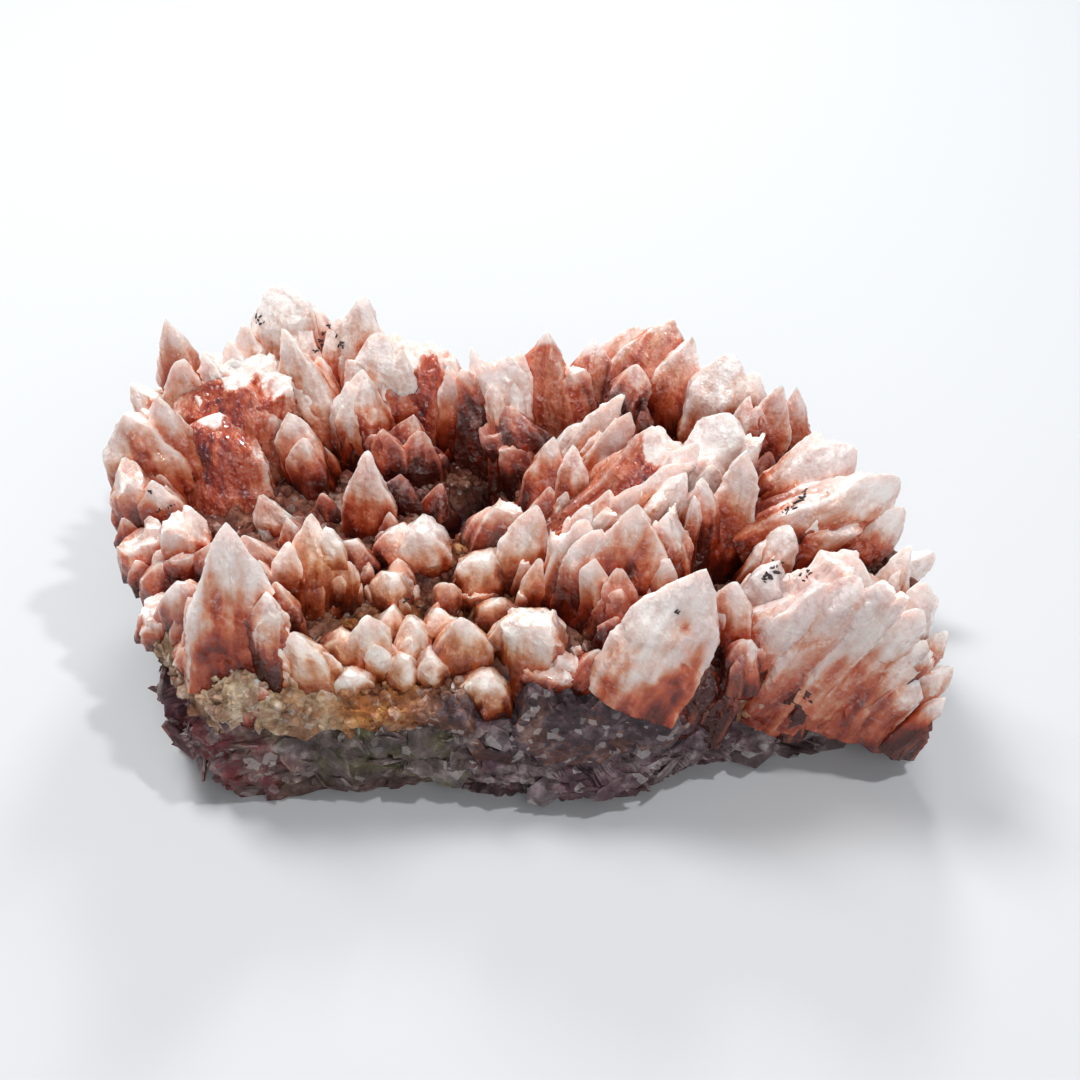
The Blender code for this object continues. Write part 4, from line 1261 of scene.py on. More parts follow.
@dataclass
class CalciteFinish:
    """Milky calcite: white tips over pink, salmon and brick red, waxy and translucent; painted shade
    darkens the crevices.
    """

    effects: EffectLibrary
    made: bpy.types.Material | None = None
    # The darkest stops of both ramps are painted shade for the crevices.
    zones: tuple = (
        (0.00, (0.85, 0.79, 0.76)),
        (0.20, (0.76, 0.645, 0.60)),
        (0.35, (0.68, 0.465, 0.385)),
        (0.47, (0.60, 0.265, 0.155)),
        (0.59, (0.48, 0.100, 0.036)),
        (0.73, (0.31, 0.036, 0.009)),
        (0.86, (0.15, 0.013, 0.003)),
        (1.00, (0.05, 0.005, 0.002)),
    )
    earthy_and_shade: tuple = (
        (0.00, (0.86, 0.79, 0.73)),
        (0.18, (0.78, 0.63, 0.52)),
        (0.33, (0.68, 0.42, 0.26)),
        (0.45, (0.54, 0.21, 0.060)),
        (0.58, (0.36, 0.085, 0.014)),
        (0.76, (0.16, 0.025, 0.004)),
        (1.00, (0.07, 0.010, 0.003)),
    )

    def material(self) -> bpy.types.Material:
        """The finish's one material, made on first use."""
        if self.made is None:
            self.made = self.build()
        return self.made

    def build(self) -> bpy.types.Material:
        """Write the node tree."""
        material, tree, shader = start_material("milky calcite")
        place = tree.node("ShaderNodeTexCoord").outputs["Object"]
        grow = tree.node("ShaderNodeAttribute", attribute_name="grow").outputs["Vector"]
        paint = tree.node("ShaderNodeAttribute", attribute_name="shade")
        parts = tree.node("ShaderNodeSeparateColor", {0: paint.outputs["Color"]})
        along, tone, core = parts.outputs[0], parts.outputs[1], parts.outputs[2]
        rim = paint.outputs["Alpha"]
        spot = tree.node("ShaderNodeSeparateXYZ", {0: place}).outputs
        streak = tree.noise(tree.stretch(grow, (0.42, 0.42, 0.08)), 1.0, 3.0, 0.5)
        cloud = tree.noise(place, 170.0, 4.0, 0.58)
        # The zone starts from the red share of the shade attribute, which also carries the painted crevice
        # shade and the painted light by facing.
        zone = along
        terms = ((streak, 1.0, 0.5), (cloud, 0.75, 0.5), (tone, 0.62, 0.24), (rim, -0.22, 0.3))
        for value, gain, middle in terms:
            shifted = tree.math("MULTIPLY", tree.math("SUBTRACT", value, middle), gain)
            zone = tree.math("ADD", zone, shifted)
        colour = tree.ramp(zone, self.zones)
        earth = tree.product(
            tree.between(spot[1], -0.008, -0.02), tree.between(spot[0], 0.006, -0.006),
            tree.between(spot[0], -0.037, -0.028), 0.75,
        )
        colour = tree.blend(earth, colour, tree.ramp(zone, self.earthy_and_shade))
        lilac = tree.product(
            tree.between(tree.noise(place, 95.0, 3.0), 0.48, 0.62), tree.between(zone, 0.6, 0.2),
            tree.between(spot[0], -0.025, 0.03), 0.5,
        )
        colour = tree.blend(lilac, colour, opaque((0.60, 0.43, 0.42)))
        vein = tree.noise(tree.stretch(grow, (0.6, 0.6, 0.09)), 1.0, 3.0, 0.5)
        vein = tree.math("MULTIPLY", tree.between(vein, 0.54, 0.68), tree.math("ADD", tone, 0.1))
        colour = tree.blend(tree.math("MULTIPLY", vein, 0.7), colour, opaque((0.44, 0.09, 0.04)))
        colour = self.frost(tree, place, colour, rim, along)
        colour = self.heart(tree, place, grow, colour, core)
        self.surface(tree, shader, place, colour, core)
        glaze = tree.math("MULTIPLY", tree.between(along, 0.7, 0.1), 0.5)
        tree.feed(glaze, shader.inputs["Coat Weight"])
        return material

    def frost(self, tree: Tree, place: object, colour: object, rim: object, along: object) -> object:
        """White frosting on the ridges and in fine veils, less towards the root; partly painted light on
        the thin edges and painted glints in the veils.
        """
        grain = self.effects.use(self.effects.grain, tree, place, 2700.0)
        fine = tree.between(tree.noise(place, 900.0, 2.0), 0.48, 0.7)
        # Painted glints: the grain's glint cells join the frost veil as white specks.
        veil = tree.math("MAXIMUM", fine, grain["Glint"])
        near = tree.between(along, 0.75, 0.05)
        patch = tree.math("ADD", tree.between(tree.noise(place, 260.0, 2.0), 0.42, 0.62), 0.35)
        veil = tree.math("MULTIPLY", veil, patch)
        both = tree.math("ADD", tree.math("MULTIPLY", rim, 0.32), tree.math("MULTIPLY", veil, 0.27))
        return tree.blend(tree.math("MULTIPLY", both, near), colour, opaque((0.91, 0.87, 0.85)))

    def heart(self, tree: Tree, place: object, grow: object, colour: object, core: object) -> object:
        """Crimson granular heart of the broken crystals, almost violet in its middle."""
        grain = self.effects.use(self.effects.grain, tree, place, 2300.0)
        fibre = tree.noise(tree.stretch(grow, (0.9, 0.9, 0.14)), 1.0, 4.0)
        wander = tree.math("MULTIPLY", tree.math("SUBTRACT", fibre, 0.5), 1.7)
        amount = tree.math("ADD", tree.math("MULTIPLY", core, 0.78), wander)
        stops = ((0.0, (0.68, 0.36, 0.27)), (0.3, (0.55, 0.17, 0.09)), (0.55, (0.40, 0.065, 0.03)),
                 (0.76, (0.24, 0.030, 0.020)), (0.95, (0.05, 0.016, 0.026)))
        deep = tree.ramp(amount, stops)
        # Painted glints: pale specks on the broken heart.
        sparkle = tree.product(grain["Glint"], tree.between(fibre, 0.42, 0.6), 0.5)
        speckled = tree.blend(sparkle, deep, opaque((0.75, 0.45, 0.40)))
        inside = tree.math("MULTIPLY", tree.between(amount, 0.02, 0.3), tree.between(core, 0.08, 0.42))
        return tree.blend(inside, colour, speckled)

    def surface(
        self, tree: Tree, shader: bpy.types.Node, place: object, colour: object, core: object,
    ) -> None:
        """Waxy gloss, fine pits and light that wanders inside the crystal."""
        pits = tree.noise(place, 600.0, 3.0, 0.6)
        grain = self.effects.use(self.effects.grain, tree, place, 1700.0)
        rough_grain = tree.math("MULTIPLY", grain["Height"], tree.math("ADD", core, 0.2))
        height = tree.math("ADD", tree.math("MULTIPLY", pits, 0.9), rough_grain)
        bump = tree.node("ShaderNodeBump", {"Height": height, "Strength": 0.9, "Distance": 0.0006})
        rough = tree.math("MULTIPLY_ADD", tree.noise(place, 300.0, 2.0), 0.36, 0.03)
        tree.feed(colour, shader.inputs["Base Color"])
        tree.feed(rough, shader.inputs["Roughness"])
        tree.feed(self.glitter(tree, place, bump.outputs[0]), shader.inputs["Normal"])
        shader.inputs["Coat Roughness"].default_value = 0.08
        shader.subsurface_method = "BURLEY"
        shader.inputs["Subsurface Weight"].default_value = 0.6
        shader.inputs["Subsurface Radius"].default_value = (1.0, 0.42, 0.3)
        shader.inputs["Subsurface Scale"].default_value = 0.0024
        shader.inputs["IOR"].default_value = 1.55

    @staticmethod
    def glitter(tree: Tree, place: object, normal: object) -> object:
        """Normal socket tipped at random from cell to cell, as tiny cleaved faces are."""
        for scale, tip in ((950.0, 0.32), (2900.0, 0.30)):
            cells = tree.node("ShaderNodeTexVoronoi", {"Vector": place, "Scale": scale}).outputs["Color"]
            middle = tree.node("ShaderNodeVectorMath", {0: cells, 1: (0.5, 0.5, 0.5)}, operation="SUBTRACT")
            tipped = tree.stretch(middle.outputs[0], (tip, tip, tip))
            normal = tree.node("ShaderNodeVectorMath", {0: normal, 1: tipped}, operation="ADD").outputs[0]
        return tree.node("ShaderNodeVectorMath", {0: normal}, operation="NORMALIZE").outputs[0]


@dataclass
class StoneFinish:
    """Rough granular rock whose colours are painted by zones in the shade attribute."""

    effects: EffectLibrary
    name: str
    base: tuple
    first: tuple
    second: tuple
    third: tuple
    fourth: tuple
    translucency: float = 0.0
    grain_scale: float = 1100.0
    made: bpy.types.Material | None = None

    def material(self) -> bpy.types.Material:
        """The finish's one material, made on first use."""
        if self.made is None:
            self.made = self.build()
        return self.made

    def build(self) -> bpy.types.Material:
        """Write the node tree of the rock."""
        material, tree, shader = start_material(self.name)
        place = tree.node("ShaderNodeTexCoord").outputs["Object"]
        paint = tree.node("ShaderNodeAttribute", attribute_name="shade")
        parts = tree.node("ShaderNodeSeparateColor", {0: paint.outputs["Color"]})
        mottle = tree.noise(place, 380.0, 4.0, 0.65)
        colour = tree.ramp(mottle, self.base)
        masks = (*tuple(parts.outputs)[:3], paint.outputs["Alpha"])
        tints = (self.first, self.second, self.third, self.fourth)
        for socket, tint, scale in zip(masks, tints, (150.0, 240.0, 330.0, 200.0)):
            stain = self.effects.use(self.effects.stain, tree, place, scale)
            broken = tree.math("MULTIPLY_ADD", stain[0], 0.75, 0.25)
            amount = tree.math("MULTIPLY", socket, broken, clamp=True)
            colour = tree.blend(amount, colour, tree.ramp(mottle, tint))
        grain = self.effects.use(self.effects.grain, tree, place, self.grain_scale)
        # Painted glints: the grain's glint cells are lightened towards white.
        glint = tree.math("MULTIPLY", grain["Glint"], 0.25)
        colour = tree.blend(glint, colour, opaque((0.8, 0.74, 0.72)))
        height = tree.math("ADD", grain["Height"], tree.math("MULTIPLY", mottle, 0.9))
        bump = tree.node("ShaderNodeBump", {"Height": height, "Strength": 0.8, "Distance": 0.0007})
        rough = tree.math("SUBTRACT", 0.72, tree.math("MULTIPLY", grain["Glint"], 0.45))
        tree.feed(colour, shader.inputs["Base Color"])
        tree.feed(rough, shader.inputs["Roughness"])
        tree.feed(bump.outputs[0], shader.inputs["Normal"])
        shader.inputs["Subsurface Weight"].default_value = self.translucency
        shader.inputs["Subsurface Radius"].default_value = (1.0, 0.5, 0.35)
        shader.inputs["Subsurface Scale"].default_value = 0.0012
        return material


# Bed and matrix

@dataclass(frozen=True)
class Patch:
    """A round zone of colour or relief: middle, reach and strength."""

    x: float
    y: float
    reach: float
    strength: float = 1.0


def patches(points: np.ndarray, spots: tuple[Patch, ...]) -> np.ndarray:
    """Strongest of several soft round zones at each point, from 0 to 1."""
    total = np.zeros(len(points))
    for spot in spots:
        away = np.hypot(points[:, 0] - spot.x, points[:, 1] - spot.y) / spot.reach
        total = np.maximum(total, spot.strength * smooth_step(1.2, 0.4, away))
    return total


@dataclass
class CrustBed:
    """Granular crust that the crystals are rooted in."""

    columns: int = 420
    rows: int = 64
    reach: float = 46.0
    top_share: float = 0.82
    thinnest: float = 2.5
    orange: tuple[Patch, ...] = (
        Patch(-22, -29, 9), Patch(-8, -20, 8), Patch(-28, -32, 8), Patch(-3, -14, 6), Patch(-20, -20, 7),
        Patch(36, -26, 8, 0.8), Patch(-12, -5, 7), Patch(-40, -28, 6, 0.6),
    )
    cream: tuple[Patch, ...] = (Patch(-37, -32, 9), Patch(-30, -30, 7, 0.8), Patch(-48, -26, 6, 0.6))
    violet: tuple[Patch, ...] = (Patch(3, -35, 11, 2.4), Patch(14, -35, 12, 2.4), Patch(-8, -36, 7, 1.6))
    hollows: tuple[Patch, ...] = (
        Patch(-4.5, -31.5, 4, 8.0), Patch(-9.5, -1.5, 4, 14.0), Patch(-6.5, 0.5, 4, 14.0),
        Patch(8, -35, 9, 3.0),
    )
    # Painted shade in the dark slit and the front hollow: these spots take the dark violet tint.
    hollow_shade: tuple[Patch, ...] = (Patch(-9.5, -1.5, 4, 4), Patch(-6.5, 0.5, 4, 4), Patch(-4.5, -31.5, 4, 4))

    def build(self, finish: StoneFinish) -> bpy.types.Object:
        """Polar grid from the centre out, over the rim and down the side, broken into crumbs.

        Args:
            finish: The crust's stone finish.

        Returns:
            The finished piece.
        """
        share = np.linspace(0, 1, self.columns, endpoint=False)[None]
        step = np.linspace(0, 1, self.rows)[:, None]
        over = np.clip(step / self.top_share, 0, 1)
        inset = self.reach * (1 - over) ** 1.3 + 0.4
        chip = 0.9 * value_noise(np.stack(np.broadcast_arrays(share * 40, step * 6, 1.0), -1))
        plan = outline_points(np.broadcast_to(share, (self.rows, self.columns)), inset + chip)
        x, y = plan[..., 0], plan[..., 1]
        edge = CRUST_EDGE_DROP * np.exp(-inset / 3.0)
        top = np.maximum(crust_level(x, y) - edge, matrix_level(x, y) + self.thinnest)
        fall = np.clip((step - self.top_share) / (1 - self.top_share), 0, 1)
        flat = np.stack([x, y, 0 * x], -1)
        ragged = value_noise(flat * 0.16, 71) + 0.6 * value_noise(flat * 0.5, 72)
        low = matrix_level(x, y) - 1.5 - 3.5 * np.clip(ragged, -0.2, 1.0)
        z = top * (1 - fall) + low * fall
        points = np.stack([x, y, z], -1).reshape(-1, 3)
        lump = 1.0 * layered_noise(points * 0.22, 3, 4) + 0.7 * fracture(points * 0.55, 0.9, 2)
        lump += 0.35 * fracture(points * 1.3, 0.9, 3)
        points[:, 2] += lump * (1 - 0.6 * np.repeat(fall.ravel(), self.columns))
        points[:, 2] -= patches(points, self.hollows)
        middle = points[: self.columns].mean(axis=0)
        floor = np.array((CENTRE[0], CENTRE[1], float(matrix_level(*CENTRE)) - 3.0))
        points = np.vstack([points, middle, floor])
        item = link(mesh_object("crust_bed", points, tube_faces(self.rows, self.columns)))
        red = smooth_step(-22.0, -6.0, points[:, 1])
        spots = (self.orange, self.cream, self.violet)
        orange, cream, violet = (patches(points, group) for group in spots)
        # The violet mask also carries the painted shade of the hollows, which takes their orange away.
        violet = np.maximum(violet, patches(points, self.hollow_shade))
        paint = np.stack([orange * np.clip(1 - violet, 0, 1), cream, red, violet], -1)
        set_attribute(item.data, "shade", paint)
        shade(item, 40)
        item.data.materials.append(finish.material())
        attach(item, "root")
        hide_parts("crystals")
        self.surface = (points, paint, normals_of(item))
        return item


@dataclass
class MatrixSlab:
    """Broken base rock: ledges and cleaved plates around the side, cut flat below."""

    columns: int = 640
    wall_rows: int = 44
    violet: tuple[Patch, ...] = (
        Patch(6, -36, 17), Patch(-50, -22, 9, 0.8), Patch(-4, -36, 9), Patch(24, -30, 8, 0.8),
    )
    olive: tuple[Patch, ...] = (
        Patch(-20, -34, 13), Patch(-33, -34, 8, 0.7), Patch(50, 0, 16, 0.6), Patch(10, 28, 20, 0.5),
    )
    crimson: tuple[Patch, ...] = (
        Patch(-48, -28, 7), Patch(-40, -34, 9), Patch(-54, 10, 12, 0.6), Patch(30, 20, 14, 0.5),
    )

    def build(self, finish: StoneFinish) -> bpy.types.Object:
        """Polar grid up the broken wall and in over the hidden top.

        The wall leans out from the cut to mid height and back in. Its inset is moved by planes of
        random cells at three sizes, which leaves ledges and cleaved plates.

        Args:
            finish: The matrix finish.

        Returns:
            The finished piece.
        """
        share = np.linspace(0, 1, self.columns, endpoint=False)[None]
        rise = np.linspace(0, 1, self.wall_rows)[:, None]
        shape = (self.wall_rows, self.columns)
        lean = np.interp(rise, (0, 0.22, 0.45, 0.7, 1.0), (CUT_INSET, 0.8, -0.2, 0.6, 1.4))
        plan = outline_points(np.broadcast_to(share, shape), np.broadcast_to(lean, shape))
        level = matrix_level(plan[..., 0], plan[..., 1]) * rise * 0.98
        points = np.concatenate([plan, level[..., None]], -1)
        flat = points * (1.0, 1.0, 1.9)
        broken = 1.0 * fracture(flat * 0.11, 0.8, 21) + 0.85 * fracture(flat * 0.2, 1.1, 22)
        broken += 0.3 * fracture(flat * 0.5, 1.0, 23) + 0.07 * fracture(points * 1.2, 1.0, 24)
        plan = outline_points(np.broadcast_to(share, shape), lean + 0.4 - broken)
        points[..., :2] = plan
        points[1:-1, :, 2] += 0.25 * fracture(flat[1:-1] * 0.6, 0.8, 25)
        inner = []
        for inset in (6.0, 14.0, 24.0):
            ring = outline_points(share[0], np.full(self.columns, inset))
            inner.append(np.column_stack([ring, matrix_level(ring[:, 0], ring[:, 1]) - 0.3]))
        rows = np.concatenate([points, np.stack(inner)])[::-1]
        poles = ((*CENTRE, float(matrix_level(*CENTRE)) - 0.3), (*CENTRE, 0.0))
        flat_points = np.vstack([rows.reshape(-1, 3), poles])
        flat_points[:, 2] = np.maximum(flat_points[:, 2], 0.0)
        faces = tube_faces(len(rows), self.columns)
        item = link(mesh_object("matrix_rock", flat_points, faces))
        zones = [patches(flat_points, spots) for spots in (self.violet, self.olive, self.crimson)]
        # Painted shade: the wall darkens towards the cut, where it meets the floor.
        foot = smooth_step(6.0, 1.0, flat_points[:, 2])
        paint = np.stack([*zones, 0.7 * foot], -1)
        set_attribute(item.data, "shade", paint)
        self.surface = (flat_points, paint, normals_of(item))
        keep_in_box(item, CAD_LOW - Vector((0, 0, BOX_MARGIN * MM)), CAD_HIGH)
        shade(item, 30)
        item.data.materials.append(finish.material())
        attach(item, "root")
        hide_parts("matrix")
        return item


def scatter(name: str, places: np.ndarray, sizes: np.ndarray, normals: np.ndarray, seed: int) -> tuple:
    """Many small six-sided crystals, each turned at random about its own normal.

    A crystal is a hexagonal barrel that narrows to a low point at both ends: four rings of six
    corners, each corner moved a little at random, and two poles.

    Args:
        name: Name of the piece.
        places: Centre of each crystal.
        sizes: Length of each along its two sides and its normal.
        normals: Direction that each one's third side faces.
        seed: Source of the turns.

    Returns:
        The object and the index of the crystal for each of its points.
    """
    rng = np.random.default_rng(seed)
    angle = np.arange(6) * math.pi / 3
    rings = [(0.24, 0.5), (0.5, 0.16), (0.46, -0.22), (0.2, -0.5)]
    body = [np.column_stack([r * np.cos(angle), r * np.sin(angle), angle * 0 + z]) for r, z in rings]
    body = np.vstack([*body, (0, 0, 0.52), (0, 0, -0.52)])
    faces = tube_faces(4, 6)
    count = len(places)
    wobble = 1 + rng.uniform(-0.16, 0.16, (count, len(body), 3))
    local = body[None] * wobble * sizes[:, None]
    third = normals / np.linalg.norm(normals, axis=1, keepdims=True)
    first = np.cross(third, rng.normal(size=(count, 3)) + (0, 0, 1.5))
    first /= np.linalg.norm(first, axis=1, keepdims=True)
    second = np.cross(third, first)
    turned = np.einsum("nij,njk->nik", local, np.stack([first, second, third], 1))
    points = (turned + places[:, None]).reshape(-1, 3)
    numbers = (faces[None] + np.arange(count)[:, None, None] * len(body)).reshape(-1, 3)
    return link(mesh_object(name, points, numbers)), np.repeat(np.arange(count), len(body))


@dataclass
class Rubble:
    """Loose-looking crumbs and small crystals set in the crust and in the broken rock."""

    name: str
    node: str
    slot: str
    count: int
    size: tuple[float, float]
    flat: float
    tumble: float
    seed: int

    def build(
        self, places: np.ndarray, paint: np.ndarray, normals: np.ndarray, finish: StoneFinish,
    ) -> bpy.types.Object:
        """Set crumbs at some of the places on a surface.

        Args:
            places: Points of the surface.
            paint: Shade of each point.
            normals: Way that each point faces.
            finish: Finish of the crumbs.

        Returns:
            The finished piece.
        """
        rng = np.random.default_rng(self.seed)
        calm = 1 - 0.8 * np.clip(paint[:, 3], 0, 1)
        chosen = rng.choice(len(places), self.count, replace=False, p=calm / calm.sum())
        small, large = self.size
        size = small + (large - small) * rng.power(0.45, self.count) ** 2
        thick = size * self.flat * rng.uniform(0.7, 1.4, self.count)
        sizes = np.column_stack([size, size * rng.uniform(0.5, 0.95, self.count), thick])
        facing = normals[chosen] + rng.normal(size=(self.count, 3)) * self.tumble
        item, owner = scatter(self.name, places[chosen], sizes, facing, self.seed + 1)
        tint = paint[chosen] + rng.uniform(-0.2, 0.2, (self.count, 4))
        set_attribute(item.data, "shade", tint[owner])
        keep_in_box(item, CAD_LOW, CAD_HIGH)
        shade(item, 25)
        item.data.materials.append(finish.material())
        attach(item, "root")
        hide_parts(self.node)
        return item


@dataclass(frozen=True)
class Speck:
    """A dark iron grain where a line of sight meets the crystals, in pixels and millimetres."""

    across: float
    down: float
    size: float


SPECKS = (
    Speck(257, 315, 1.1), Speck(260, 321, 0.8), Speck(329, 327, 0.9), Speck(325, 335, 0.8),
    Speck(321, 343, 0.9), Speck(316, 352, 0.8), Speck(341, 342, 0.9), Speck(342, 347, 0.7),
    Speck(801, 497, 1.2), Speck(805, 495, 1.0), Speck(788, 508, 1.1), Speck(792, 505, 0.9),
    Speck(785, 512, 0.8), Speck(765, 579, 1.1), Speck(770, 573, 1.3), Speck(775, 566, 0.9),
    Speck(803, 579, 0.9), Speck(807, 574, 1.0), Speck(676, 612, 0.8), Speck(405, 600, 0.9),
    Speck(559, 520, 0.6), Speck(150, 491, 0.7), Speck(159, 513, 0.7), Speck(172, 507, 0.6),
)


@dataclass
class IronSpecks:
    """Dark grains that lie on the crystals, a few spread around each place."""

    name: str = "iron_specks"
    grains: int = 4
    spread: float = 2.6

    def build(self, pieces: list[bpy.types.Object], studio: "Studio") -> bpy.types.Object:
        """Find where each line of sight meets the crystals and set a flat grain there.

        Args:
            pieces: The pieces that carry the grains.
            studio: The camera's place and framing.

        Returns:
            The finished piece.
        """
        trees = [BVHTree.FromObject(piece, bpy.context.evaluated_depsgraph_get()) for piece in pieces]
        places, normals, sizes = [], [], []
        chance = random.Random(7)
        grains = [replace(
            speck, across=speck.across + chance.gauss(0, self.spread * speck.size),
            down=speck.down + chance.gauss(0, self.spread * speck.size),
            size=speck.size * chance.uniform(0.3, 0.8),
        ) for speck in SPECKS for _ in range(self.grains)]
        for speck in grains:
            origin, direction = studio.sight(speck.across, speck.down)
            hits = [tree.ray_cast(origin, direction) for tree in trees]
            hits = [hit for hit in hits if hit[0] is not None]
            if not hits:
                continue
            place, normal, _, _ = min(hits, key=lambda hit: hit[3])
            places.append(np.array(place) / MM - CENTRING)
            normals.append(np.array(normal))
            sizes.append((speck.size * 1.3, speck.size * 0.55, 0.3))
        item, _ = scatter(self.name, np.array(places), np.array(sizes), np.array(normals), 51)
        keep_in_box(item, CAD_LOW, CAD_HIGH)
        material, tree, shader = start_material("iron grains")
        place = tree.node("ShaderNodeTexCoord").outputs["Object"]
        stops = ((0.35, (0.006, 0.004, 0.006)), (0.7, (0.05, 0.03, 0.03)))
        colour = tree.ramp(tree.noise(place, 900.0, 4.0), stops)
        tree.feed(colour, shader.inputs["Base Color"])
        shader.inputs["Roughness"].default_value = 0.5
        item.data.materials.append(material)
        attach(item, "root")
        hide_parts("crystals")
        return item


# Studio

@dataclass(frozen=True)
class Studio:
    """Pale floor, soft light and the camera at the photograph's viewing angle."""

    elevation: float = 40.0
    distance: float = 256.0
    aim_height: float = 18.0
    focal_pixels: float = 1766.0
    centre_pixel: tuple[float, float] = (531.0, 542.0)
    frame_pixels: float = 1080.0

    def build(self) -> None:
        """Make the floor, the lights, the world and the camera."""
        self.floor()
        self.world()
        self.light("window", (-250, 190, 540), 200, 3.15, (1.0, 0.99, 0.975))
        self.light("fill", (120, -520, 360), 420, 1.25, (1.0, 0.99, 0.98))
        self.light("glint", (190, -60, 500), 30, 1.0, (1.0, 1.0, 1.0))
        self.light("sheen", (60, 430, 350), 110, 1.3, (1.0, 1.0, 1.0))
        self.camera()

    def sight(self, across: float, down: float) -> tuple[Vector, Vector]:
        """Camera's place and the unit vector from it through a pixel of the photograph."""
        tilt = math.radians(self.elevation)
        right = (across - self.centre_pixel[0]) / self.focal_pixels
        up = (self.centre_pixel[1] - down) / self.focal_pixels
        forward = Vector((0.0, math.cos(tilt), -math.sin(tilt)))
        above = Vector((0.0, math.sin(tilt), math.cos(tilt)))
        direction = forward + Vector((right, 0.0, 0.0)) + above * up
        return self.eye(), direction.normalized()

    def eye(self) -> Vector:
        """Camera's place in metres."""
        tilt = math.radians(self.elevation)
        away = np.array((0.0, -math.cos(tilt), math.sin(tilt))) * self.distance
        return Vector((away + (0, 0, self.aim_height) + CENTRING) * MM)

    @staticmethod
    def floor() -> None:
        """Wide pale floor under the object."""
        size = 1500.0
        corners = np.array(((-1, -1, 0), (1, -1, 0), (1, 1, 0), (-1, 1, 0))) * size - CENTRING
        floor = link(mesh_object("floor", corners, [(0, 1, 2, 3)]))
        material, _, shader = start_material("pale floor")
        shader.inputs["Base Color"].default_value = (0.54, 0.555, 0.575, 1.0)
        shader.inputs["Roughness"].default_value = 0.85
        floor.data.materials.append(material)

    @staticmethod
    def world() -> None:
        """Even white surroundings."""
        world = bpy.data.worlds.new("soft surroundings")
        world.use_nodes = True
        background = world.node_tree.nodes["Background"]
        background.inputs["Color"].default_value = (0.93, 0.96, 1.0, 1.0)
        background.inputs["Strength"].default_value = 0.25
        bpy.context.scene.world = world
        bpy.context.scene.view_settings.view_transform = "Standard"

    @staticmethod
    def light(name: str, place: tuple, size: float, power: float, colour: tuple) -> None:
        """Square soft light that faces the object.

        Args:
            name: Name of the light.
            place: Its place in millimetres.
            size: Length of its side in millimetres.
            power: Watts.
            colour: Its colour.
        """
        data = bpy.data.lights.new(name, "AREA")
        data.size = size * MM
        data.energy = power
        data.color = colour
        lamp = link(bpy.data.objects.new(name, data))
        lamp.location = Vector(place) * MM
        lamp.rotation_euler = (Vector((0, 0, 20)) * MM - lamp.location).to_track_quat("-Z", "Y").to_euler()

    def camera(self) -> None:
        """Camera whose aim is set by a small shift, as the photograph is framed."""
        data = bpy.data.cameras.new("camera")
        data.sensor_width = 36.0
        data.lens = self.focal_pixels / self.frame_pixels * data.sensor_width
        data.shift_x = (self.frame_pixels / 2 - self.centre_pixel[0]) / self.frame_pixels
        data.shift_y = (self.centre_pixel[1] - self.frame_pixels / 2) / self.frame_pixels
        data.clip_start = 0.01
        camera = link(bpy.data.objects.new("camera", data))
        camera.location = self.eye()
        camera.rotation_euler = (math.pi / 2 - math.radians(self.elevation), 0.0, 0.0)
        bpy.context.scene.camera = camera


def count_triangles(item: bpy.types.Object) -> int:
    """Triangles in an object's mesh."""
    item.data.calc_loop_triangles()
    return len(item.data.loop_triangles)


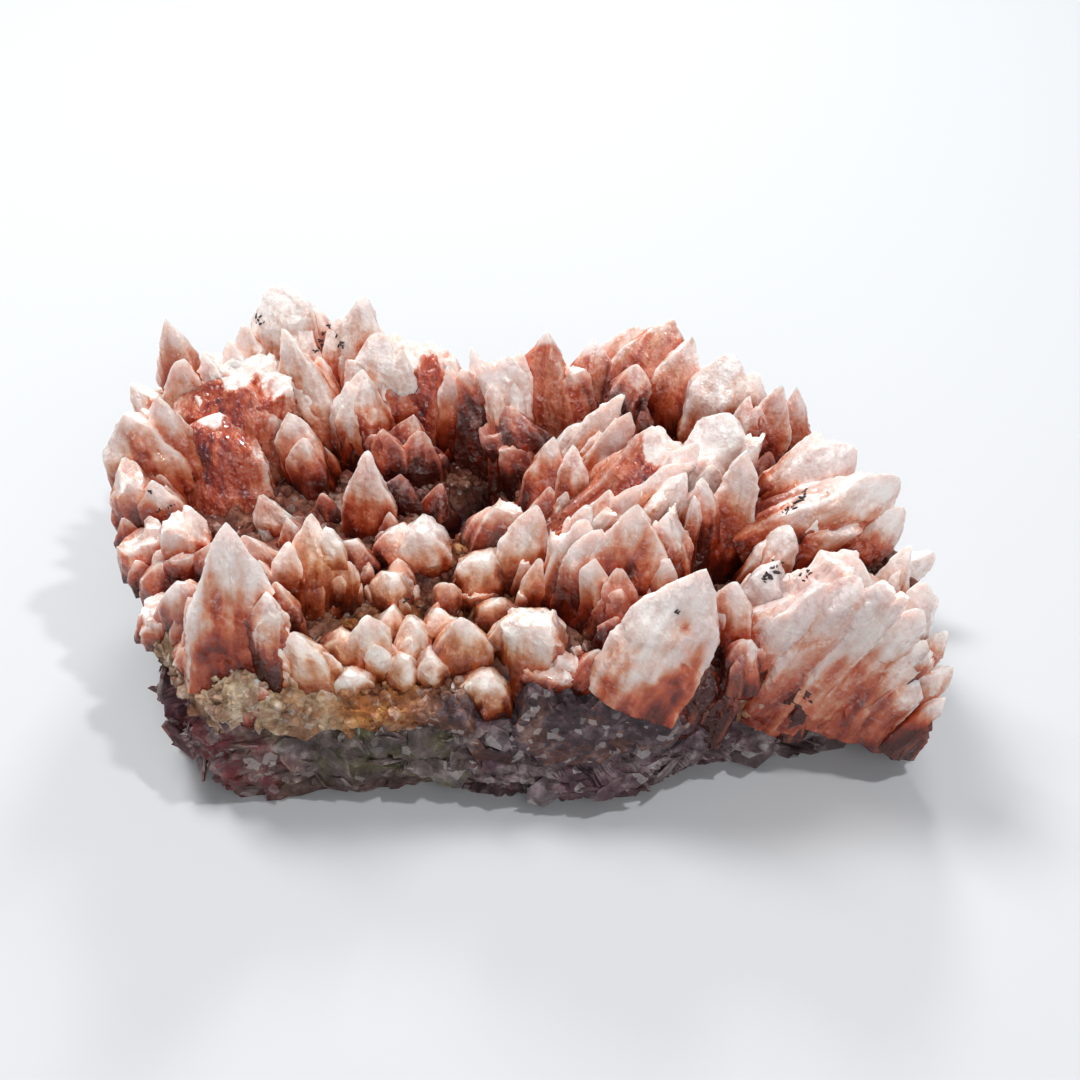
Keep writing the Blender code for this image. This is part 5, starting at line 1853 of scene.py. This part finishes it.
def main() -> None:
    """Build every piece in order and report it."""
    logging.basicConfig(level=logging.INFO, format="%(name)s %(message)s")
    effects = EffectLibrary()
    calcite = CalciteFinish(effects)
    crust = StoneFinish(
        effects, "granular crust",
        base=((0.3, (0.05, 0.015, 0.009)), (0.5, (0.19, 0.065, 0.033)), (0.7, (0.42, 0.24, 0.16))),
        first=((0.3, (0.11, 0.028, 0.006)), (0.5, (0.36, 0.115, 0.018)), (0.7, (0.58, 0.30, 0.085))),
        second=((0.3, (0.32, 0.22, 0.12)), (0.5, (0.58, 0.44, 0.29)), (0.7, (0.76, 0.66, 0.52))),
        third=((0.3, (0.04, 0.005, 0.003)), (0.5, (0.14, 0.019, 0.008)), (0.7, (0.27, 0.06, 0.03))),
        # fourth: violet rock, and painted shade in the slit and hollows.
        fourth=((0.3, (0.014, 0.006, 0.009)), (0.5, (0.055, 0.030, 0.038)), (0.72, (0.22, 0.155, 0.17))),
        translucency=0.25,
    )
    rock = StoneFinish(
        effects, "broken matrix",
        base=((0.3, (0.04, 0.025, 0.027)), (0.52, (0.14, 0.10, 0.105)), (0.72, (0.36, 0.30, 0.30))),
        first=((0.3, (0.022, 0.006, 0.012)), (0.55, (0.09, 0.038, 0.056)), (0.75, (0.30, 0.18, 0.22))),
        second=((0.3, (0.035, 0.030, 0.010)), (0.55, (0.125, 0.11, 0.05)), (0.75, (0.34, 0.31, 0.19))),
        third=((0.3, (0.05, 0.006, 0.008)), (0.55, (0.17, 0.025, 0.03)), (0.75, (0.36, 0.13, 0.12))),
        # fourth: painted shade at the foot of the wall.
        fourth=((0.3, (0.02, 0.006, 0.007)), (0.55, (0.08, 0.022, 0.024)), (0.75, (0.20, 0.09, 0.08))),
        translucency=0.1,
        grain_scale=700.0,
    )
    flakes = replace(
        rock, name="cleaved flakes", translucency=0.3, grain_scale=420.0,
        base=((0.3, (0.04, 0.027, 0.031)), (0.5, (0.13, 0.098, 0.105)), (0.7, (0.36, 0.31, 0.325))),
    )
    slab, bed = MatrixSlab(), CrustBed()
    pieces = [slab.build(rock), bed.build(crust)]
    places, paint, normals = slab.surface
    wall = (places[:, 2] > 1.5) & (np.hypot(normals[:, 0], normals[:, 1]) > 0.25)
    plates = Rubble("cleaved_plates", "matrix", "matrix", 560, (1.0, 8.5), 0.10, 0.2, 41)
    pieces.append(plates.build(places[wall], paint[wall] * 0.75, normals[wall], flakes))
    places, paint, normals = bed.surface
    bare = places[:, 2] > 8.0
    crumbs = Rubble("crust_crumbs", "crystals", "calcite", 4100, (0.5, 2.6), 0.9, 0.7, 43)
    pieces.append(crumbs.build(places[bare], paint[bare], normals[bare], crust))
    banks = all_banks()
    grown = [bank.shells() for bank in banks]
    canopy = Canopy(np.vstack([shell.points for shells in grown for shell in shells]))
    teeth = [bank.build(shells, canopy, calcite) for bank, shells in zip(banks, grown)]
    studio = Studio()
    pieces += [*teeth, IronSpecks().build(teeth, studio)]
    for piece in pieces:
        LOG.info("%s: %d triangles", piece.name, count_triangles(piece))
    LOG.info("all: %d triangles", sum(count_triangles(piece) for piece in pieces))
    studio.build()


if __name__ == "__main__":
    main()
